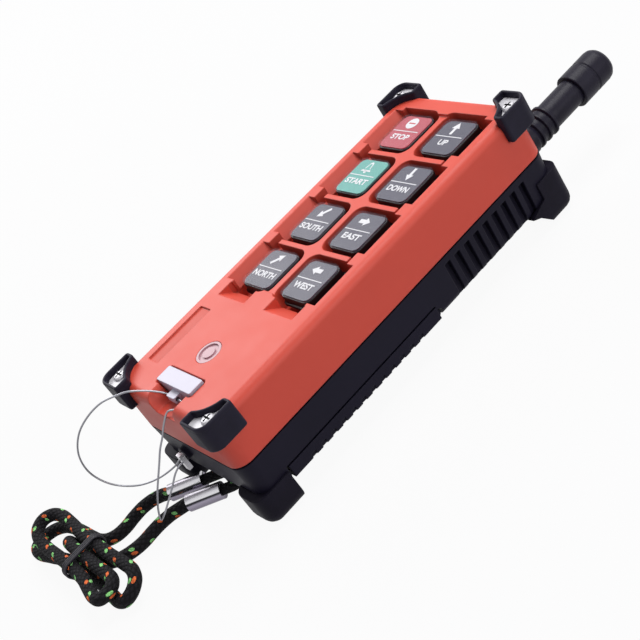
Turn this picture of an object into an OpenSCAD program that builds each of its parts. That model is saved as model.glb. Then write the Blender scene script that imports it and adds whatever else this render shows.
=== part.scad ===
// Crane radio remote control: a hand-held, eight-key pendant transmitter.
// The handset stands on its four rear feet on the plane z = 0. X runs across the case,
// +Y runs from the lanyard end to the antenna end, and +Z points out of the key face.
// The origin lies at the middle of the handset's length and width, on that plane.

/* [Case] */
// Overall length, from the lower corner guards to the antenna tip
overall_l = 181.4; // [172:0.2:200]
// Length of the case at its seam
case_l = 137.1; // [134:0.1:142]
// Width of the case at its seam
case_w = 57; // [56.2:0.2:62]
// Height of the underside of the rear shell above the table
shell_floor_z = 7.3; // [6.6:0.1:8]
// Height of the seam between the shells above the table
seam_z = 22.7; // [22.2:0.1:23.2]
// Height of the deck, the flat of the key face, above the table
deck_z = 40.3; // [40:0.1:42]
// Corner radius of the case seen from above
corner_r = 5.4; // [5.4:0.1:7]
// Radius of the long edges of the deck
deck_edge_r = 3; // [2.4:0.1:3.6]
// Radius of the edges of the rear shell's underside
floor_edge_r = 2.6; // [1.5:0.1:3]
// Draft of the front shell's walls, from seam to deck
draft = 0.2; // [0.1:0.1:0.6]
// Draft of the rear shell's walls, from seam to underside
rear_draft = 0.8; // [0.4:0.1:1]
// Wall of the shells
wall = 2.2; // [1.8:0.1:2.4]
// Thickness of the deck and of the rear shell's floor
deck_t = 2; // [1.6:0.1:2.2]
// Width of the dark seal that shows between the shells
seal_h = 0.6; // [0.4:0.1:0.8]
// Width of the bare label recess beside the keys
label_w = 6.1; // [5:0.1:6.4]
// Length of the label recess
label_l = 23; // [18:0.5:24]
// Depth of the label recess
label_d = 0.5; // [0.3:0.1:0.8]
// Distance from the side of the case to the middle of the label recess
label_in = 8.5; // [8.1:0.1:8.8]
// Distance of the label recess from the middle of the key block
label_down = 64.5; // [62:0.5:65.5]

/* [Keys] */
// Distance between key centres across the case
key_pitch_x = 21.2; // [20.8:0.1:21.6]
// Distance between key rows along the case
key_pitch_y = 21.4; // [21:0.1:21.8]
// Width of a key cap
key_w = 14.8; // [13.6:0.1:15.2]
// Length of a key cap
key_l = 15.6; // [14:0.1:16]
// Corner radius of a key cap
key_r = 2.4; // [1.5:0.1:3]
// Height of the key tops above the table
key_top_z = 39.6; // [39.2:0.1:40.2]
// Thickness of the clear cap
cap_t = 0.5; // [0.4:0.1:1]
// Thickness of the printed card under the cap
card_t = 0.4; // [0.3:0.1:0.6]
// Margin of the card inside the cap
card_in = 0.5; // [0.4:0.1:0.9]
// Travel of a key
key_travel = 2; // [1.5:0.1:2.2]
// Distance from the lower end of the case to the middle of the key block
key_block_up = 88.3; // [87:0.1:89]

/* [Key field] */
// Margin between a key and its pocket
pocket_gap = 2; // [1.8:0.1:2.1]
// Height of the pocket floors above the table
pocket_floor_z = 32.6; // [32.2:0.1:32.8]
// Thickness of the pocket floors
pocket_floor_t = 1.4; // [1.2:0.1:1.6]
// Step from the deck down to the ribs between the keys
rib_drop = 1; // [0.6:0.1:1.4]
// Half width of the key field at the deck, to the upper edge of the side slopes
field_half_w = 23.9; // [23.4:0.1:24.1]
// Depth of the side slopes where they meet the pockets
slope_drop = 4.2; // [3:0.1:5]
// Width of the tabs that cross the side slopes between the rows
tab_w = 4.8; // [4.2:0.1:5.2]
// Distance from the middle of the case to the outer ends of the ribs between the rows
rib_reach = 18.2; // [17.6:0.1:18.6]
// Distance from the middle of the case to the inner ends of the tabs
tab_from = 20.8; // [20.4:0.1:21.2]
// Length of the ramps below the last row of keys
ramp_l = 5.3; // [4:0.1:6]

/* [Corner guards] */
// How far a guard stands proud of the side of the case
guard_side = 2.2; // [1.9:0.1:2.4]
// How far a guard stands proud of the end of the case
guard_end = 2.4; // [2:0.1:2.6]
// Height of a guard's rim above the table
guard_rim_z = 43; // [42.8:0.1:44]
// Height of a guard's lower edge above the table
guard_low_z = 33.5; // [33:0.1:34]
// Length of a guard's arm along the end of the case
guard_arm_x = 11.4; // [11:0.1:12]
// Length of a guard's arm along the side of the case
guard_arm_y = 12.6; // [12.2:0.1:13]
// Width of the end arm where it stops
guard_arm_w = 5; // [4.6:0.1:5.4]
// Width of the side arm where it stops
guard_side_w = 3.9; // [3.6:0.1:4.2]
// Radius of the hollow inner edge of a guard
guard_bite_r = 10.3; // [9:0.1:12]
// Outer corner radius of a guard
guard_r = 4; // [3.4:0.1:4.4]
// Wall of a guard's rim
guard_wall = 1; // [0.9:0.05:1.1]
// Thickness of the metal plate in a guard
plate_t = 0.6; // [0.4:0.1:0.8]

/* [Corner screws] */
// Distance of a guard's screw from the side of the case at the seam
screw_in_x = 2.2; // [2.1:0.05:2.4]
// Distance of a guard's screw from the end of the case at the seam
screw_in_y = 3; // [2.8:0.1:3.2]
// Shank radius of a guard's screw
screw_r = 1; // [0.9:0.05:1.1]
// Length of a guard's screw below its head
screw_l = 5; // [4:0.1:5.4]
// Head radius of a guard's screw
screw_head_r = 2.1; // [1.9:0.05:2.15]
// Head height of a corner screw
screw_head_h = 1.1; // [0.9:0.1:1.3]
// Depth of the cross recess in a corner screw
screw_cross_d = 0.7; // [0.5:0.1:0.8]
// Distance of a case screw from the side and the end of the case at the seam
case_screw_in = 4.9; // [4.6:0.1:5.2]
// Shank radius of a case screw
case_screw_r = 1.25; // [1.1:0.05:1.4]
// Head radius of a case screw
case_screw_head_r = 2.2; // [2:0.1:2.4]
// Depth of a case screw's seat in the underside of the rear shell
case_screw_depth = 1.8; // [1.6:0.1:2]

/* [Rear shell] */
// Number of grip slots on each side
slot_count = 9; // [5:1:10]
// Distance between grip slots
slot_pitch = 4.4; // [4.2:0.1:4.6]
// Width of a grip slot
slot_w = 2.5; // [2:0.1:2.8]
// Depth of a grip slot
slot_d = 2.4; // [1.6:0.1:2.6]
// Distance from the seam to the top of the slots
slot_top_gap = 2.4; // [2:0.1:2.8]
// Distance from the antenna end of the case to the first slot
slot_from_end = 13.7; // [13.3:0.1:14.2]

/* [Rear feet] */
// Height of the top edge of a lower foot above the table
foot_low_top_z = 11.1; // [10.6:0.1:11.6]
// Height of the top edge of an upper foot above the table
foot_high_top_z = 15.5; // [14.6:0.1:16]
// Length of a lower foot along the side of the case
foot_low_l = 11; // [10:0.1:11.2]
// Length of an upper foot along the side of the case
foot_high_l = 9; // [8:0.1:10]
// Length of the ramp below an upper foot
foot_ramp_l = 7.2; // [6:0.1:9]
// Height of the thin end of that ramp above the table
foot_ramp_z = 7; // [6.6:0.1:8]
// Length of a foot along the end of the case
foot_w = 12.2; // [11:0.1:12.4]
// Corner radius of a foot seen from above
foot_r = 4.2; // [4:0.1:5]
// How far a foot stands proud of the side of the case
foot_side = 1; // [0.6:0.1:1.4]
// How far a foot stands proud of the end of the case
foot_end = 2.1; // [1.8:0.1:2.2]
// Radius of the lower edges of a foot
foot_edge_r = 3.8; // [2:0.1:4]

/* [Battery bay] */
// Distance from the lower end of the case to the battery cover
cover_from_end = 12.1; // [11.9:0.1:12.4]
// Length of the battery cover
cover_l = 66.8; // [66.6:0.1:67]
// Height of the upper edge of the cover's sides above the table
cover_side_z = 11.8; // [11.6:0.1:12.2]
// Thickness of the battery cover
cover_t = 1.6; // [1.4:0.1:1.8]
// Gap between the cover and the rear shell
cover_gap = 0.6; // [0.4:0.1:0.8]
// How far the cover stands proud of the side of the case
cover_proud = 0.3; // [0.2:0.05:0.5]
// Number of grip notches along each side of the cover
notch_count = 12; // [6:1:13]
// Distance between grip notches
notch_pitch = 4.35; // [4.1:0.05:4.6]
// Radius of a battery cell
cell_r = 7.1; // [6.9:0.05:7.2]
// Length of a battery cell, with its nub
cell_l = 50.5; // [50:0.1:50.6]
// Length of a fitted battery spring
spring_l = 3.6; // [3:0.1:4]
// Radius of the hinge barrel of the cover
hinge_r = 1.6; // [1.4:0.05:1.8]
// Radius of the hinge pins
hinge_pin_r = 0.75; // [0.6:0.05:0.85]
// Clearance between a pin and its bore
pin_play = 0.05; // [0.02:0.01:0.1]

/* [Antenna] */
// Distance of the antenna from the side of the case
antenna_in = 11; // [10.6:0.1:12.4]
// Height of the antenna's axis above the table
antenna_z = 22.3; // [21.9:0.1:22.7]
// Radius of the antenna cap
antenna_cap_r = 5.9; // [5.6:0.1:6.2]
// Length of the antenna cap
antenna_cap_l = 15.6; // [14:0.1:17]
// Radius of the plain part of the sleeve
sleeve_r = 4.65; // [4.4:0.05:5]
// Radius of the rings at the foot of the sleeve
sleeve_ring_r = 5.35; // [5.1:0.05:5.5]
// Length of the ringed part of the sleeve
ringed_l = 14.5; // [13:0.1:16]
// Number of rings that stand out on the sleeve
ring_count = 3; // [2:1:4]
// Radius of the antenna's metal core
core_r = 1.5; // [1:0.1:1.8]

/* [Signal lens and safety key] */
// Distance of the signal lens from the middle of the key block
lens_down = 66.4; // [66:0.1:67]
// Radius of the signal lens
lens_r = 4.3; // [3.8:0.1:4.6]
// Width of the safety key
safety_w = 19.4; // [18.6:0.1:20]
// Length of the safety key
safety_l = 5.6; // [5:0.1:6]
// Distance of the safety key from the middle of the key block
safety_down = 78.3; // [78:0.1:78.5]
// How far the safety key stands proud of the deck
safety_proud = 0.7; // [0.4:0.1:1]
// Depth of the safety key's recess below the deck
safety_depth = 5; // [4.4:0.1:5.4]
// Width of the valley at its floor, from the safety key to the end of the case
valley_floor_w = 10; // [9:0.1:11]
// Width of the valley at the deck
valley_top_w = 16.4; // [15:0.1:17.4]
// Radius of the steel tether wire
wire_r = 0.3; // [0.25:0.05:0.45]
// Radius of the eye through the safety key's tail
eye_r = 0.7; // [0.6:0.05:0.8]

/* [Lanyard] */
// Radius of the braided rope
rope_r = 2.1; // [2:0.05:2.2]
// Length of a metal ferrule
ferrule_l = 12; // [10:0.1:12]
// Outer radius of a metal ferrule
ferrule_r = 2.8; // [2.7:0.05:2.95]
// Radius of the black cord loop that joins the ferrules to the case
loop_cord_r = 1.7; // [1.5:0.05:1.8]
// Reach of the put-away hank's left lobes from its tie
hank_left = 32; // [30:0.5:34]
// Reach of the hank's right lobes from its tie
hank_right = 27; // [26:0.5:29]
// How far the hank's lobes swell
hank_swell = 3; // [2.8:0.1:3.1]
// Step between neighbouring runs in the hank, centre to centre
hank_step = 4.9; // [4.85:0.01:5]
// Width of the elastic tie round the hank
tie_w = 2.6; // [2:0.1:3]
// Thickness of the tie
tie_t = 0.9; // [0.6:0.1:1.2]

/* [Hidden] */
KEYS = ["stop", "start", "south", "north", "up", "down", "east", "west"];
$fn = 48;

orange = [0.88, 0.36, 0.29];
black = [0.13, 0.12, 0.15];
steel = [0.78, 0.78, 0.8];
brass = [0.8, 0.66, 0.32];
board_green = [0.1, 0.35, 0.2];

// One overrun for all cuts, and the clearances that the pieces share
over = 0.5;
fit_gap = 0.3;
slide_gap = 0.1;
hull_fn = 32;

// Heights where the shells meet the seal between them
front_low_z = seam_z + seal_h / 2;
rear_high_z = seam_z - seal_h / 2;

// Ends of the case along Y
low_y = -overall_l / 2 + guard_end;
high_y = low_y + case_l;
mid_y = (low_y + high_y) / 2;
keys_y = low_y + key_block_up;
rim_w = 1.2;
inner_w = case_w - 2 * (wall + rim_w);
inner_l = case_l - 2 * (wall + rim_w);
deck_under_z = deck_z - deck_t;

// Key heights, from the top down
card_top_z = key_top_z - cap_t;
base_top_z = card_top_z - card_t;
key_skirt_low_z = pocket_floor_z + key_travel + 0.4 * pocket_floor_t;
key_skirt_t = 1;
key_skirt_out = 0.5;
stem_r = 2;
board_z = 25.8;
board_t = 1.6;
board_top_z = board_z + board_t;
board_in_x = 2.8;
board_in_y = 4.15;
board_w = inner_w - 2 * board_in_x;
board_l = inner_l - 2 * board_in_y;
switch_top_z = pocket_floor_z - pocket_floor_t - slide_gap;
stem_low_z = board_top_z + key_travel + fit_gap;
switch_w = 7;
switch_r = 0.8;
board_r = 2;
radio_w = 20;
radio_l = 16;
radio_t = 3;
sensor_w = 5;
sensor_l = 4;

// Screw, guard and plate heights
plate_top_z = deck_z + plate_t;
screw_at = [guard_side + screw_in_x, guard_end + screw_in_y];
boss_wall = 1.3;
boss_r = screw_r + boss_wall;
neck_r = 1.6;
corner_at = [guard_side + corner_r, guard_end + corner_r];
neck_at = corner_at + (corner_r - draft - neck_r) * unit(screw_at - corner_at);
pillar_wall = 1.6;
pillar_r = case_screw_r + pillar_wall;
case_screw_top_z = guard_low_z - wall;
boss_floor_z = shell_floor_z + deck_t;
guard_x = case_w / 2 + guard_side;
guard_low_end = low_y - guard_end;
guard_high_end = high_y + guard_end;

// Battery bay
cover_low_y = low_y + cover_from_end;
cover_high_y = cover_low_y + cover_l;
hinge_y = cover_high_y - hinge_r;
hinge_z = shell_floor_z + hinge_r;
cell_gap = 0.5;
cell_under = 0.4;
cell_x = cell_r + cell_gap;
cell_z = shell_floor_z + cover_t + cell_r + cell_under;
contact_t = 0.4;
bay_half_w = cell_x + cell_r + 3 * fit_gap;
bay_l = cell_l + spring_l + 2 * contact_t;
bay_high_y = hinge_y - hinge_r - cell_under;
bay_low_y = bay_high_y - bay_l;
bay_wall = 1.6;
bay_roof_z = board_z - bay_wall;
plate_z = cover_side_z + bay_wall;
cover_screw_y = (cover_low_y + bay_low_y) / 2 - 2 * slide_gap;
cover_screw_r = 1.25;
cover_screw_head_r = 2.4;
ear_w = 2.4;
ear_x = 11;
pin_reach = 2.6;

// Antenna
antenna_x = case_w / 2 - antenna_in;
antenna_base_y = high_y + 2 * slide_gap;
antenna_tip_y = overall_l / 2;
cap_end_t = 2.4;
sleeve_end_y = antenna_tip_y - cap_end_t;
cap_start_y = antenna_tip_y - antenna_cap_l;
core_thread_r = 3;

// Safety key
safety_y = keys_y - safety_down;
safety_low_z = deck_z - safety_depth + fit_gap;
safety_wall = 1.3;
safety_r = 0.6;
magnet_r = 2;
magnet_t = 2;
safety_gap = 0.7;
tail_w = 4.6;
tail_l = 2.6;
tail_y = safety_y - safety_l / 2 - tail_l / 2;
eye_y = tail_y - 0.1 * tail_l;
eye_drop = 2.3;
eye_z = deck_z - eye_drop;
valley_low_z = deck_z - safety_depth;
trough_h = deck_under_z - valley_low_z + safety_wall;

// Lanyard: the two ferrules lie side by side on one direction on the table
lanyard_turn = 47;
post_in = 4.5;
post_at = [-1.6, low_y + post_in];
loop_turn_r = 3.95;
post_r = loop_turn_r - loop_cord_r - slide_gap;
lanyard_z = 3;
leg_near = 3.2;
leg_far = 10.8;
loop_in_ferrule = 4;

// The strands of rope, from the ferrules to the hank, as points chosen by hand
strand_one = [
  [-14.7, -92.05, 3], [-17.4, -94.95, 3], [-20, -97.8, 3], [-22.8, -99.7, 2.8],
  [-25.4, -102.4, 2.5], [-26.9, -106.2, 2.3], [-26.9, -110.4, 2.2], [-26.3, -114.2, 2.2],
  [-26.7, -117.6, 2.2], [-28.4, -120.4, 2.3], [-31.4, -122.2, 2.6]];
strand_two = [
  [-3.75, -91.9, 3], [-6.4, -94.75, 3], [-9.1, -97.6, 3], [-11, -100.4, 2.7],
  [-12.8, -103.6, 2.4], [-13.8, -107.4, 2.2], [-13.8, -111.2, 2.2], [-13.6, -114.8, 2.2],
  [-14.2, -118.2, 2.2], [-15.8, -121.8, 2.2], [-18.1, -125, 2.4], [-20.6, -126.8, 2.8]];

// The tether wire, from the clip round through the eye of the safety key and back
wire_points = [
  [-7.4, -90.5, 17.8], [-13.4, -92.8, 13], [-19, -98.3, 10.8], [-24.4, -103.7, 11.2],
  [-29, -108.4, 15.2], [-31.3, -110.6, 21.6], [-30.6, -109.9, 29], [-27, -106.3, 36.4],
  [-21.8, -101.1, 41.6], [-16.4, -95.7, 44.4], [-11.6, -90.9, 44.6], [-8.4, -86.8, 42.2],
  [-6.4, -84.2, 39.8], [-4.8, -82.8, 38.2], [-2.4, -82.7, 38], [2.4, -82.7, 38],
  [4.8, -82.9, 37.9], [5.2, -84.4, 37.6], [3.6, -85.6, 37.2], [1, -87, 36.8],
  [-0.6, -89.6, 34], [-2, -92.2, 30.4], [-3.6, -94.9, 26.9], [-5, -97.4, 23],
  [-6.5, -99.9, 19.1], [-7.9, -102.4, 15.2], [-9.1, -104.5, 11.5], [-10, -106.1, 8.2],
  [-10.6, -107.1, 5.1], [-9.4, -105.2, 6.6], [-9.4, -102, 8.6],
  [-8.2, -98.4, 12], [-8.2, -95.2, 14.4], [-7.9, -92.8, 15.5], [-7.8, -91, 15.4]];

clip_x = -7.9;
clip_z = 17.2;
clip_ring_r = 1.5;
clip_eye_l = 1.3;
clip_t = 1.5;

// Hank: three runs over two at the waist, where the tie holds them
hank_at = [-23, -129.6];
hank_rings = 12;
rope_clear = 0.15;
hank_low_z = rope_r + rope_clear;
run_y_shares = [1.5, -0.5, 1, -1, 0, 0.5];
run_z_shares = [0, 0, 1, 1, 1, 0];
lobe_swell_shares = [1.1, 0.8, 0.8, 0.8, 0];
lobe_reach_shares = [1.06, 0.97, 0.93, 0.79, 0.48];
lobe_shift_shares = [-1.7, -0.1, 0.3, -0.7, 0];
lobe_rise_shares = [0, 0, 0.5, 0, 0];

// Shared shapes
module plate(w, l, r, h) {
  linear_extrude(h) {
    square([w - 2 * r, l], center = true);
    square([w, l - 2 * r], center = true);
    for (sx = [-1, 1]) for (sy = [-1, 1])
      translate([sx * (w / 2 - r), sy * (l / 2 - r)]) circle(r);
  }
}

module corners() {
  for (sx = [-1, 1]) for (sy = [-1, 1])
    translate([sx * (case_w / 2 - corner_r), mid_y + sy * (case_l / 2 - corner_r), 0])
      children();
}

module case_screw_places() {
  for (sx = [-1, 1]) for (sy = [-1, 1])
    translate([sx * (case_w / 2 - case_screw_in), mid_y + sy * (case_l / 2 - case_screw_in), 0])
      children();
}

module key_place(i) {
  column = i < 4 ? -1 : 1;
  row = 1.5 - i % 4;
  translate([column * key_pitch_x / 2, keys_y + row * key_pitch_y, 0]) children();
}

module along_y(at, r, l) {
  translate(at) rotate([-90, 0, 0]) cylinder(r = r, h = l);
}

module along_x(at, r, l) {
  translate(at) rotate([0, 90, 0]) translate([0, 0, -l / 2]) cylinder(r = r, h = l);
}

// Outer bodies of the two shells
module front_body() {
  top_r = corner_r - draft;
  h = deck_z - front_low_z;
  steps = [0 : 15 : 90];
  profile = concat(
    [[0, 0], [corner_r, 0]],
    [for (a = steps) [top_r - deck_edge_r + deck_edge_r * cos(a), h - deck_edge_r + deck_edge_r * sin(a)]],
    [[0, h]]);
  hull() translate([0, 0, front_low_z]) corners() rotate_extrude($fn = hull_fn) polygon(profile);
}

module rear_body() {
  low_r = corner_r - rear_draft;
  h = rear_high_z - shell_floor_z;
  steps = [0 : 18 : 90];
  profile = concat(
    [[0, 0]],
    [for (a = steps) [low_r - floor_edge_r + floor_edge_r * sin(a), floor_edge_r - floor_edge_r * cos(a)]],
    [[corner_r, h], [0, h]]);
  hull() translate([0, 0, shell_floor_z]) corners() rotate_extrude($fn = hull_fn) polygon(profile);
}

// A swept tube: one polyhedron of flat triangles along a list of points
function unit(v) = v / norm(v);
function tube_dir(p, i) =
  i == 0 ? unit(p[1] - p[0]) :
  i == len(p) - 1 ? unit(p[i] - p[i - 1]) : unit(unit(p[i + 1] - p[i]) + unit(p[i] - p[i - 1]));
function carried_sides(p, i = 0, last = [0, 0, 0], done = []) =
  i == len(p) ? done :
  let (d = tube_dir(p, i),
       start = abs(d[2]) > 0.9 ? [1, 0, 0] : [0, 0, 1],
       s = i == 0 ? unit(cross(d, start)) : unit(last - d * (last * d)))
  carried_sides(p, i + 1, s, concat(done, [s]));

module tube(p, r, sides) {
  side_dirs = carried_sides(p);
  n = len(p);
  rings = [for (i = [0 : n - 1])
    let (d = tube_dir(p, i), s = side_dirs[i], t = cross(d, s))
    for (k = [0 : sides - 1]) p[i] + r * (cos(360 * k / sides) * s + sin(360 * k / sides) * t)];
  walls = [for (i = [0 : n - 2]) for (k = [0 : sides - 1])
    let (a = i * sides + k, b = i * sides + (k + 1) % sides)
    for (f = [[a, b, b + sides], [a, b + sides, a + sides]]) f];
  ends = concat(
    [for (k = [1 : sides - 2]) [0, k + 1, k]],
    [for (k = [1 : sides - 2]) [(n - 1) * sides, (n - 1) * sides + k, (n - 1) * sides + k + 1]]);
  polyhedron(points = rings, faces = [for (f = concat(walls, ends)) [f[0], f[2], f[1]]]);
}

// Plan of a corner guard, with its outer corner at zero and its arms along +X and +Y
function guard_bite_at() =
  let (b = [guard_arm_x, guard_arm_w], c = [guard_side_w, guard_arm_y], m = (b + c) / 2,
       n = unit([c[1] - b[1], b[0] - c[0]]), half = norm(b - c) / 2)
  m + n * sqrt(guard_bite_r * guard_bite_r - half * half);
function guard_plan(inset) =
  let (q = guard_bite_at(), big = guard_bite_r + inset,
       ax = guard_arm_x - inset, ay = guard_arm_y - inset,
       start = asin((q[0] - ax) / big), stop = acos((q[1] - ay) / big))
  concat(
    [for (a = [0 : 15 : 90]) [guard_r - (guard_r - inset) * cos(a), guard_r - (guard_r - inset) * sin(a)]],
    [[ax, inset]],
    [for (k = [0 : 8]) let (a = start + (stop - start) * k / 8) [q[0] - big * sin(a), q[1] - big * cos(a)]],
    [[inset, ay]]);

module guard_place(sx, sy) {
  y = sy < 0 ? guard_low_end : guard_high_end;
  translate([sx * guard_x, y, 0])
    mirror([sx > 0 ? 1 : 0, 0, 0]) mirror([0, sy > 0 ? 1 : 0, 0]) children();
}

// Boss of the front shell inside a guard, for the guard's screw, in the guard's frame
module guard_boss(grow) {
  low = guard_low_z + 1.2 * guard_wall - grow;
  high = deck_z - plate_t + grow;
  translate([screw_at[0], screw_at[1], low]) cylinder(r = boss_r + grow, h = high - low);
  translate([neck_at[0], neck_at[1], guard_low_z - over])
    cylinder(r = neck_r + grow, h = high - guard_low_z + over);
}

// Key field cuts
module pocket_cut(i) {
  w = key_w + 2 * pocket_gap;
  l = key_l + 2 * pocket_gap;
  h = deck_z - pocket_floor_z + over;
  key_place(i) mirror([i < 4 ? 1 : 0, 0, 0]) {
    translate([0, 0, pocket_floor_z]) plate(w, l, key_r + 0.8 * pocket_gap, h);
    translate([w / 4, 0, pocket_floor_z + h / 2]) cube([w / 2, l, h], center = true);
    translate([0, 0, switch_top_z - over])
      cylinder(r = stem_r + 4 * slide_gap, h = pocket_floor_t + 2 * over);
  }
}

module side_slope_cut(i) {
  reach = field_half_w - key_pitch_x / 2;
  inner = key_w / 2 + pocket_gap - over;
  l = key_pitch_y - tab_w;
  key_place(i) mirror([i < 4 ? 1 : 0, 0, 0])
    translate([0, l / 2, 0]) rotate([90, 0, 0]) linear_extrude(l)
      polygon([[inner, deck_z - slope_drop], [reach, deck_z],
               [reach, deck_z + over], [inner, deck_z + over]]);
}

// The channels that part the ribs from the tabs at the row boundaries
module channel_cut() {
  for (row = [-1 : 1]) for (sx = [-1, 1])
    translate([sx * (rib_reach + tab_from) / 2, keys_y + row * key_pitch_y,
               deck_z + (over - slope_drop) / 2])
      cube([tab_from - rib_reach, tab_w, slope_drop + over], center = true);
}

module rib_step_cut() {
  half_w = key_pitch_x / 2 + key_w / 2 + 0.5 * pocket_gap;
  half_l = 1.5 * key_pitch_y + key_l / 2 + 0.4 * pocket_gap;
  translate([0, keys_y, deck_z - rib_drop]) plate(2 * half_w, 2 * half_l, key_r, rib_drop + over);
}

module ramp_cut(side) {
  from = (key_pitch_x - key_w) / 2 + 1.1 * pocket_gap;
  to = (key_pitch_x + key_w) / 2 + 1.2 * pocket_gap;
  start = keys_y - 1.5 * key_pitch_y - key_l / 2 - pocket_gap;
  translate([side * (from + to) / 2 + (to - from) / 2, start, 0])
    rotate([90, 0, -90]) linear_extrude(to - from)
      polygon([[-over, deck_z - slope_drop], [0, deck_z - slope_drop], [ramp_l, deck_z],
               [ramp_l, deck_z + over], [-over, deck_z + over]]);
}

// Recess and valley of the safety key
module safety_cut() {
  translate([0, safety_y, valley_low_z])
    plate(safety_w + 2 * safety_gap, safety_l + 2 * safety_gap, safety_r + safety_gap,
          safety_depth + over);
  valley_l = safety_y - low_y + over;
  side = [for (a = [0 : 36 : 180])
    [valley_floor_w / 2 + (valley_top_w - valley_floor_w) / 2 * a / 180,
     valley_low_z + safety_depth * (1 - cos(a)) / 2]];
  translate([0, safety_y, 0]) rotate([90, 0, 0]) linear_extrude(valley_l) polygon(concat(
    side, [[valley_top_w / 2, deck_z + over], [-valley_top_w / 2, deck_z + over]],
    [for (k = [len(side) - 1 : -1 : 0]) [-side[k][0], side[k][1]]]));
}

module front_case() difference() {
  union() {
    difference() {
      front_body();
      translate([0, mid_y, seam_z - over])
        plate(inner_w, inner_l, corner_r - wall, deck_under_z - seam_z + over);
    }
    intersection() {
      case_screw_places() translate([0, 0, seam_z])
        cylinder(r = pillar_r + wall, h = deck_z - seam_z);
      front_body();
    }
    intersection() {
      union() {
        translate([0, keys_y - ramp_l / 2, pocket_floor_z - pocket_floor_t])
          plate(inner_w + over, 4 * key_pitch_y + ramp_l, corner_r / 3,
                deck_under_z - pocket_floor_z + pocket_floor_t + over);
        translate([0, safety_y, valley_low_z - safety_wall])
          plate(safety_w + 2 * (safety_gap + safety_wall), safety_l + 2 * (safety_gap + safety_wall),
                safety_wall, trough_h);
        translate([0, (safety_y + low_y) / 2, valley_low_z - safety_wall + trough_h / 2])
          cube([valley_top_w + 2 * safety_wall, safety_y - low_y, trough_h], center = true);
      }
      front_body();
    }
  }
  for (i = [0 : 7]) pocket_cut(i);
  for (i = [0 : 7]) side_slope_cut(i);
  for (side = [-1, 1]) ramp_cut(side);
  channel_cut();
  rib_step_cut();
  safety_cut();
  translate([0, keys_y - lens_down, deck_under_z - over])
    cylinder(r = lens_r + slide_gap, h = deck_t + 2 * over);
  label_recess();
  for (sx = [-1, 1]) for (sy = [-1, 1]) guard_place(sx, sy)
    translate([0, 0, guard_low_z]) linear_extrude(deck_z) polygon(guard_plan(0));
  case_screw_places() translate([0, 0, seam_z - over])
    cylinder(r = case_screw_r + slide_gap / 2, h = case_screw_top_z - seam_z + over + slide_gap);
  along_y([antenna_x, high_y - 3 * wall, antenna_z], core_thread_r, 4 * wall);
}

module front_shell() color(orange) difference() {
  union() {
    front_case();
    for (sx = [-1, 1]) for (sy = [-1, 1]) guard_place(sx, sy) guard_boss(0);
  }
  for (sx = [-1, 1]) for (sy = [-1, 1]) guard_place(sx, sy)
    translate([screw_at[0], screw_at[1], plate_top_z - screw_l - slide_gap])
      cylinder(r = screw_r + slide_gap / 2, h = screw_l);
}

module label_recess() {
  translate([label_in - case_w / 2, keys_y - label_down, deck_z - label_d])
    plate(label_w, label_l, label_w / 10, label_d + over);
}

module bay_walls() {
  outer_l = bay_l + 2 * bay_wall;
  translate([-bay_half_w - bay_wall, bay_low_y - bay_wall, cover_side_z])
    cube([2 * (bay_half_w + bay_wall), outer_l, board_z - cover_side_z]);
}

module hinge_ears() {
  for (sx = [-1, 1]) {
    along_x([sx * ear_x, hinge_y, hinge_z], hinge_r - slide_gap, ear_w);
    translate([sx * ear_x - ear_w / 2, hinge_y - hinge_r + slide_gap, hinge_z])
      cube([ear_w, 2 * (hinge_r - slide_gap), cover_side_z - hinge_z + over]);
    along_x([sx * ear_x, hinge_y, hinge_z], hinge_pin_r, ear_w + 2 * pin_reach);
  }
}

module rear_shell() color(black) {
  difference() {
    union() {
      difference() {
        rear_body();
        translate([0, mid_y, plate_z])
          plate(inner_w, inner_l, corner_r - wall, seam_z - plate_z + over);
        for (y = [low_y + wall + rim_w, cover_high_y + hinge_r + wall])
          translate([-inner_w / 2 + corner_r, y, boss_floor_z])
            cube([inner_w - 2 * corner_r,
                  (y < mid_y ? cover_low_y - wall : high_y - wall - rim_w) - y,
                  plate_z - boss_floor_z + over]);
      }
      intersection() {
        case_screw_places() translate([0, 0, shell_floor_z])
          cylinder(r = pillar_r + wall, h = seam_z - shell_floor_z);
        rear_body();
      }
      bay_walls();
      translate([0, cover_screw_y, cover_side_z])
        cylinder(r = cover_screw_r + 2 * bay_wall, h = 2.6 * bay_wall);
      translate([post_at[0], post_at[1], shell_floor_z / 8]) cylinder(r = post_r, h = shell_floor_z);
    }
    translate([-case_w / 2 - over, cover_low_y - cover_gap, shell_floor_z - over])
      cube([case_w + 2 * over, hinge_y - cover_low_y + cover_gap,
            cover_side_z + cover_gap - shell_floor_z + over]);
    along_x([0, hinge_y, hinge_z], hinge_r + fit_gap, case_w + 2 * over);
    translate([-case_w / 2 - over, hinge_y - over, shell_floor_z - over])
      cube([case_w + 2 * over, hinge_r + fit_gap + over, hinge_r + over]);
    translate([-bay_half_w, bay_low_y, shell_floor_z])
      cube([2 * bay_half_w, bay_l, bay_roof_z - shell_floor_z]);
    translate([0, cover_screw_y, cover_side_z - over])
      cylinder(r = cover_screw_r + fit_gap + slide_gap, h = seam_z);
    case_screw_places() translate([0, 0, shell_floor_z - over]) {
      cylinder(r = case_screw_r + slide_gap, h = seam_z);
      cylinder(r = case_screw_head_r + fit_gap, h = case_screw_depth + over);
    }
    for (sx = [-1, 1]) for (i = [0 : slot_count - 1])
      translate([sx * (case_w / 2 - slot_d + case_w / 4), high_y - slot_from_end - i * slot_pitch,
                 (seam_z - slot_top_gap + shell_floor_z - over) / 2])
        cube([case_w / 2, slot_w, seam_z - slot_top_gap - shell_floor_z + over], center = true);
    along_y([antenna_x, high_y - 3 * wall, antenna_z], core_thread_r, 4 * wall);
  }
  hinge_ears();
  clip_eye();
}

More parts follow.
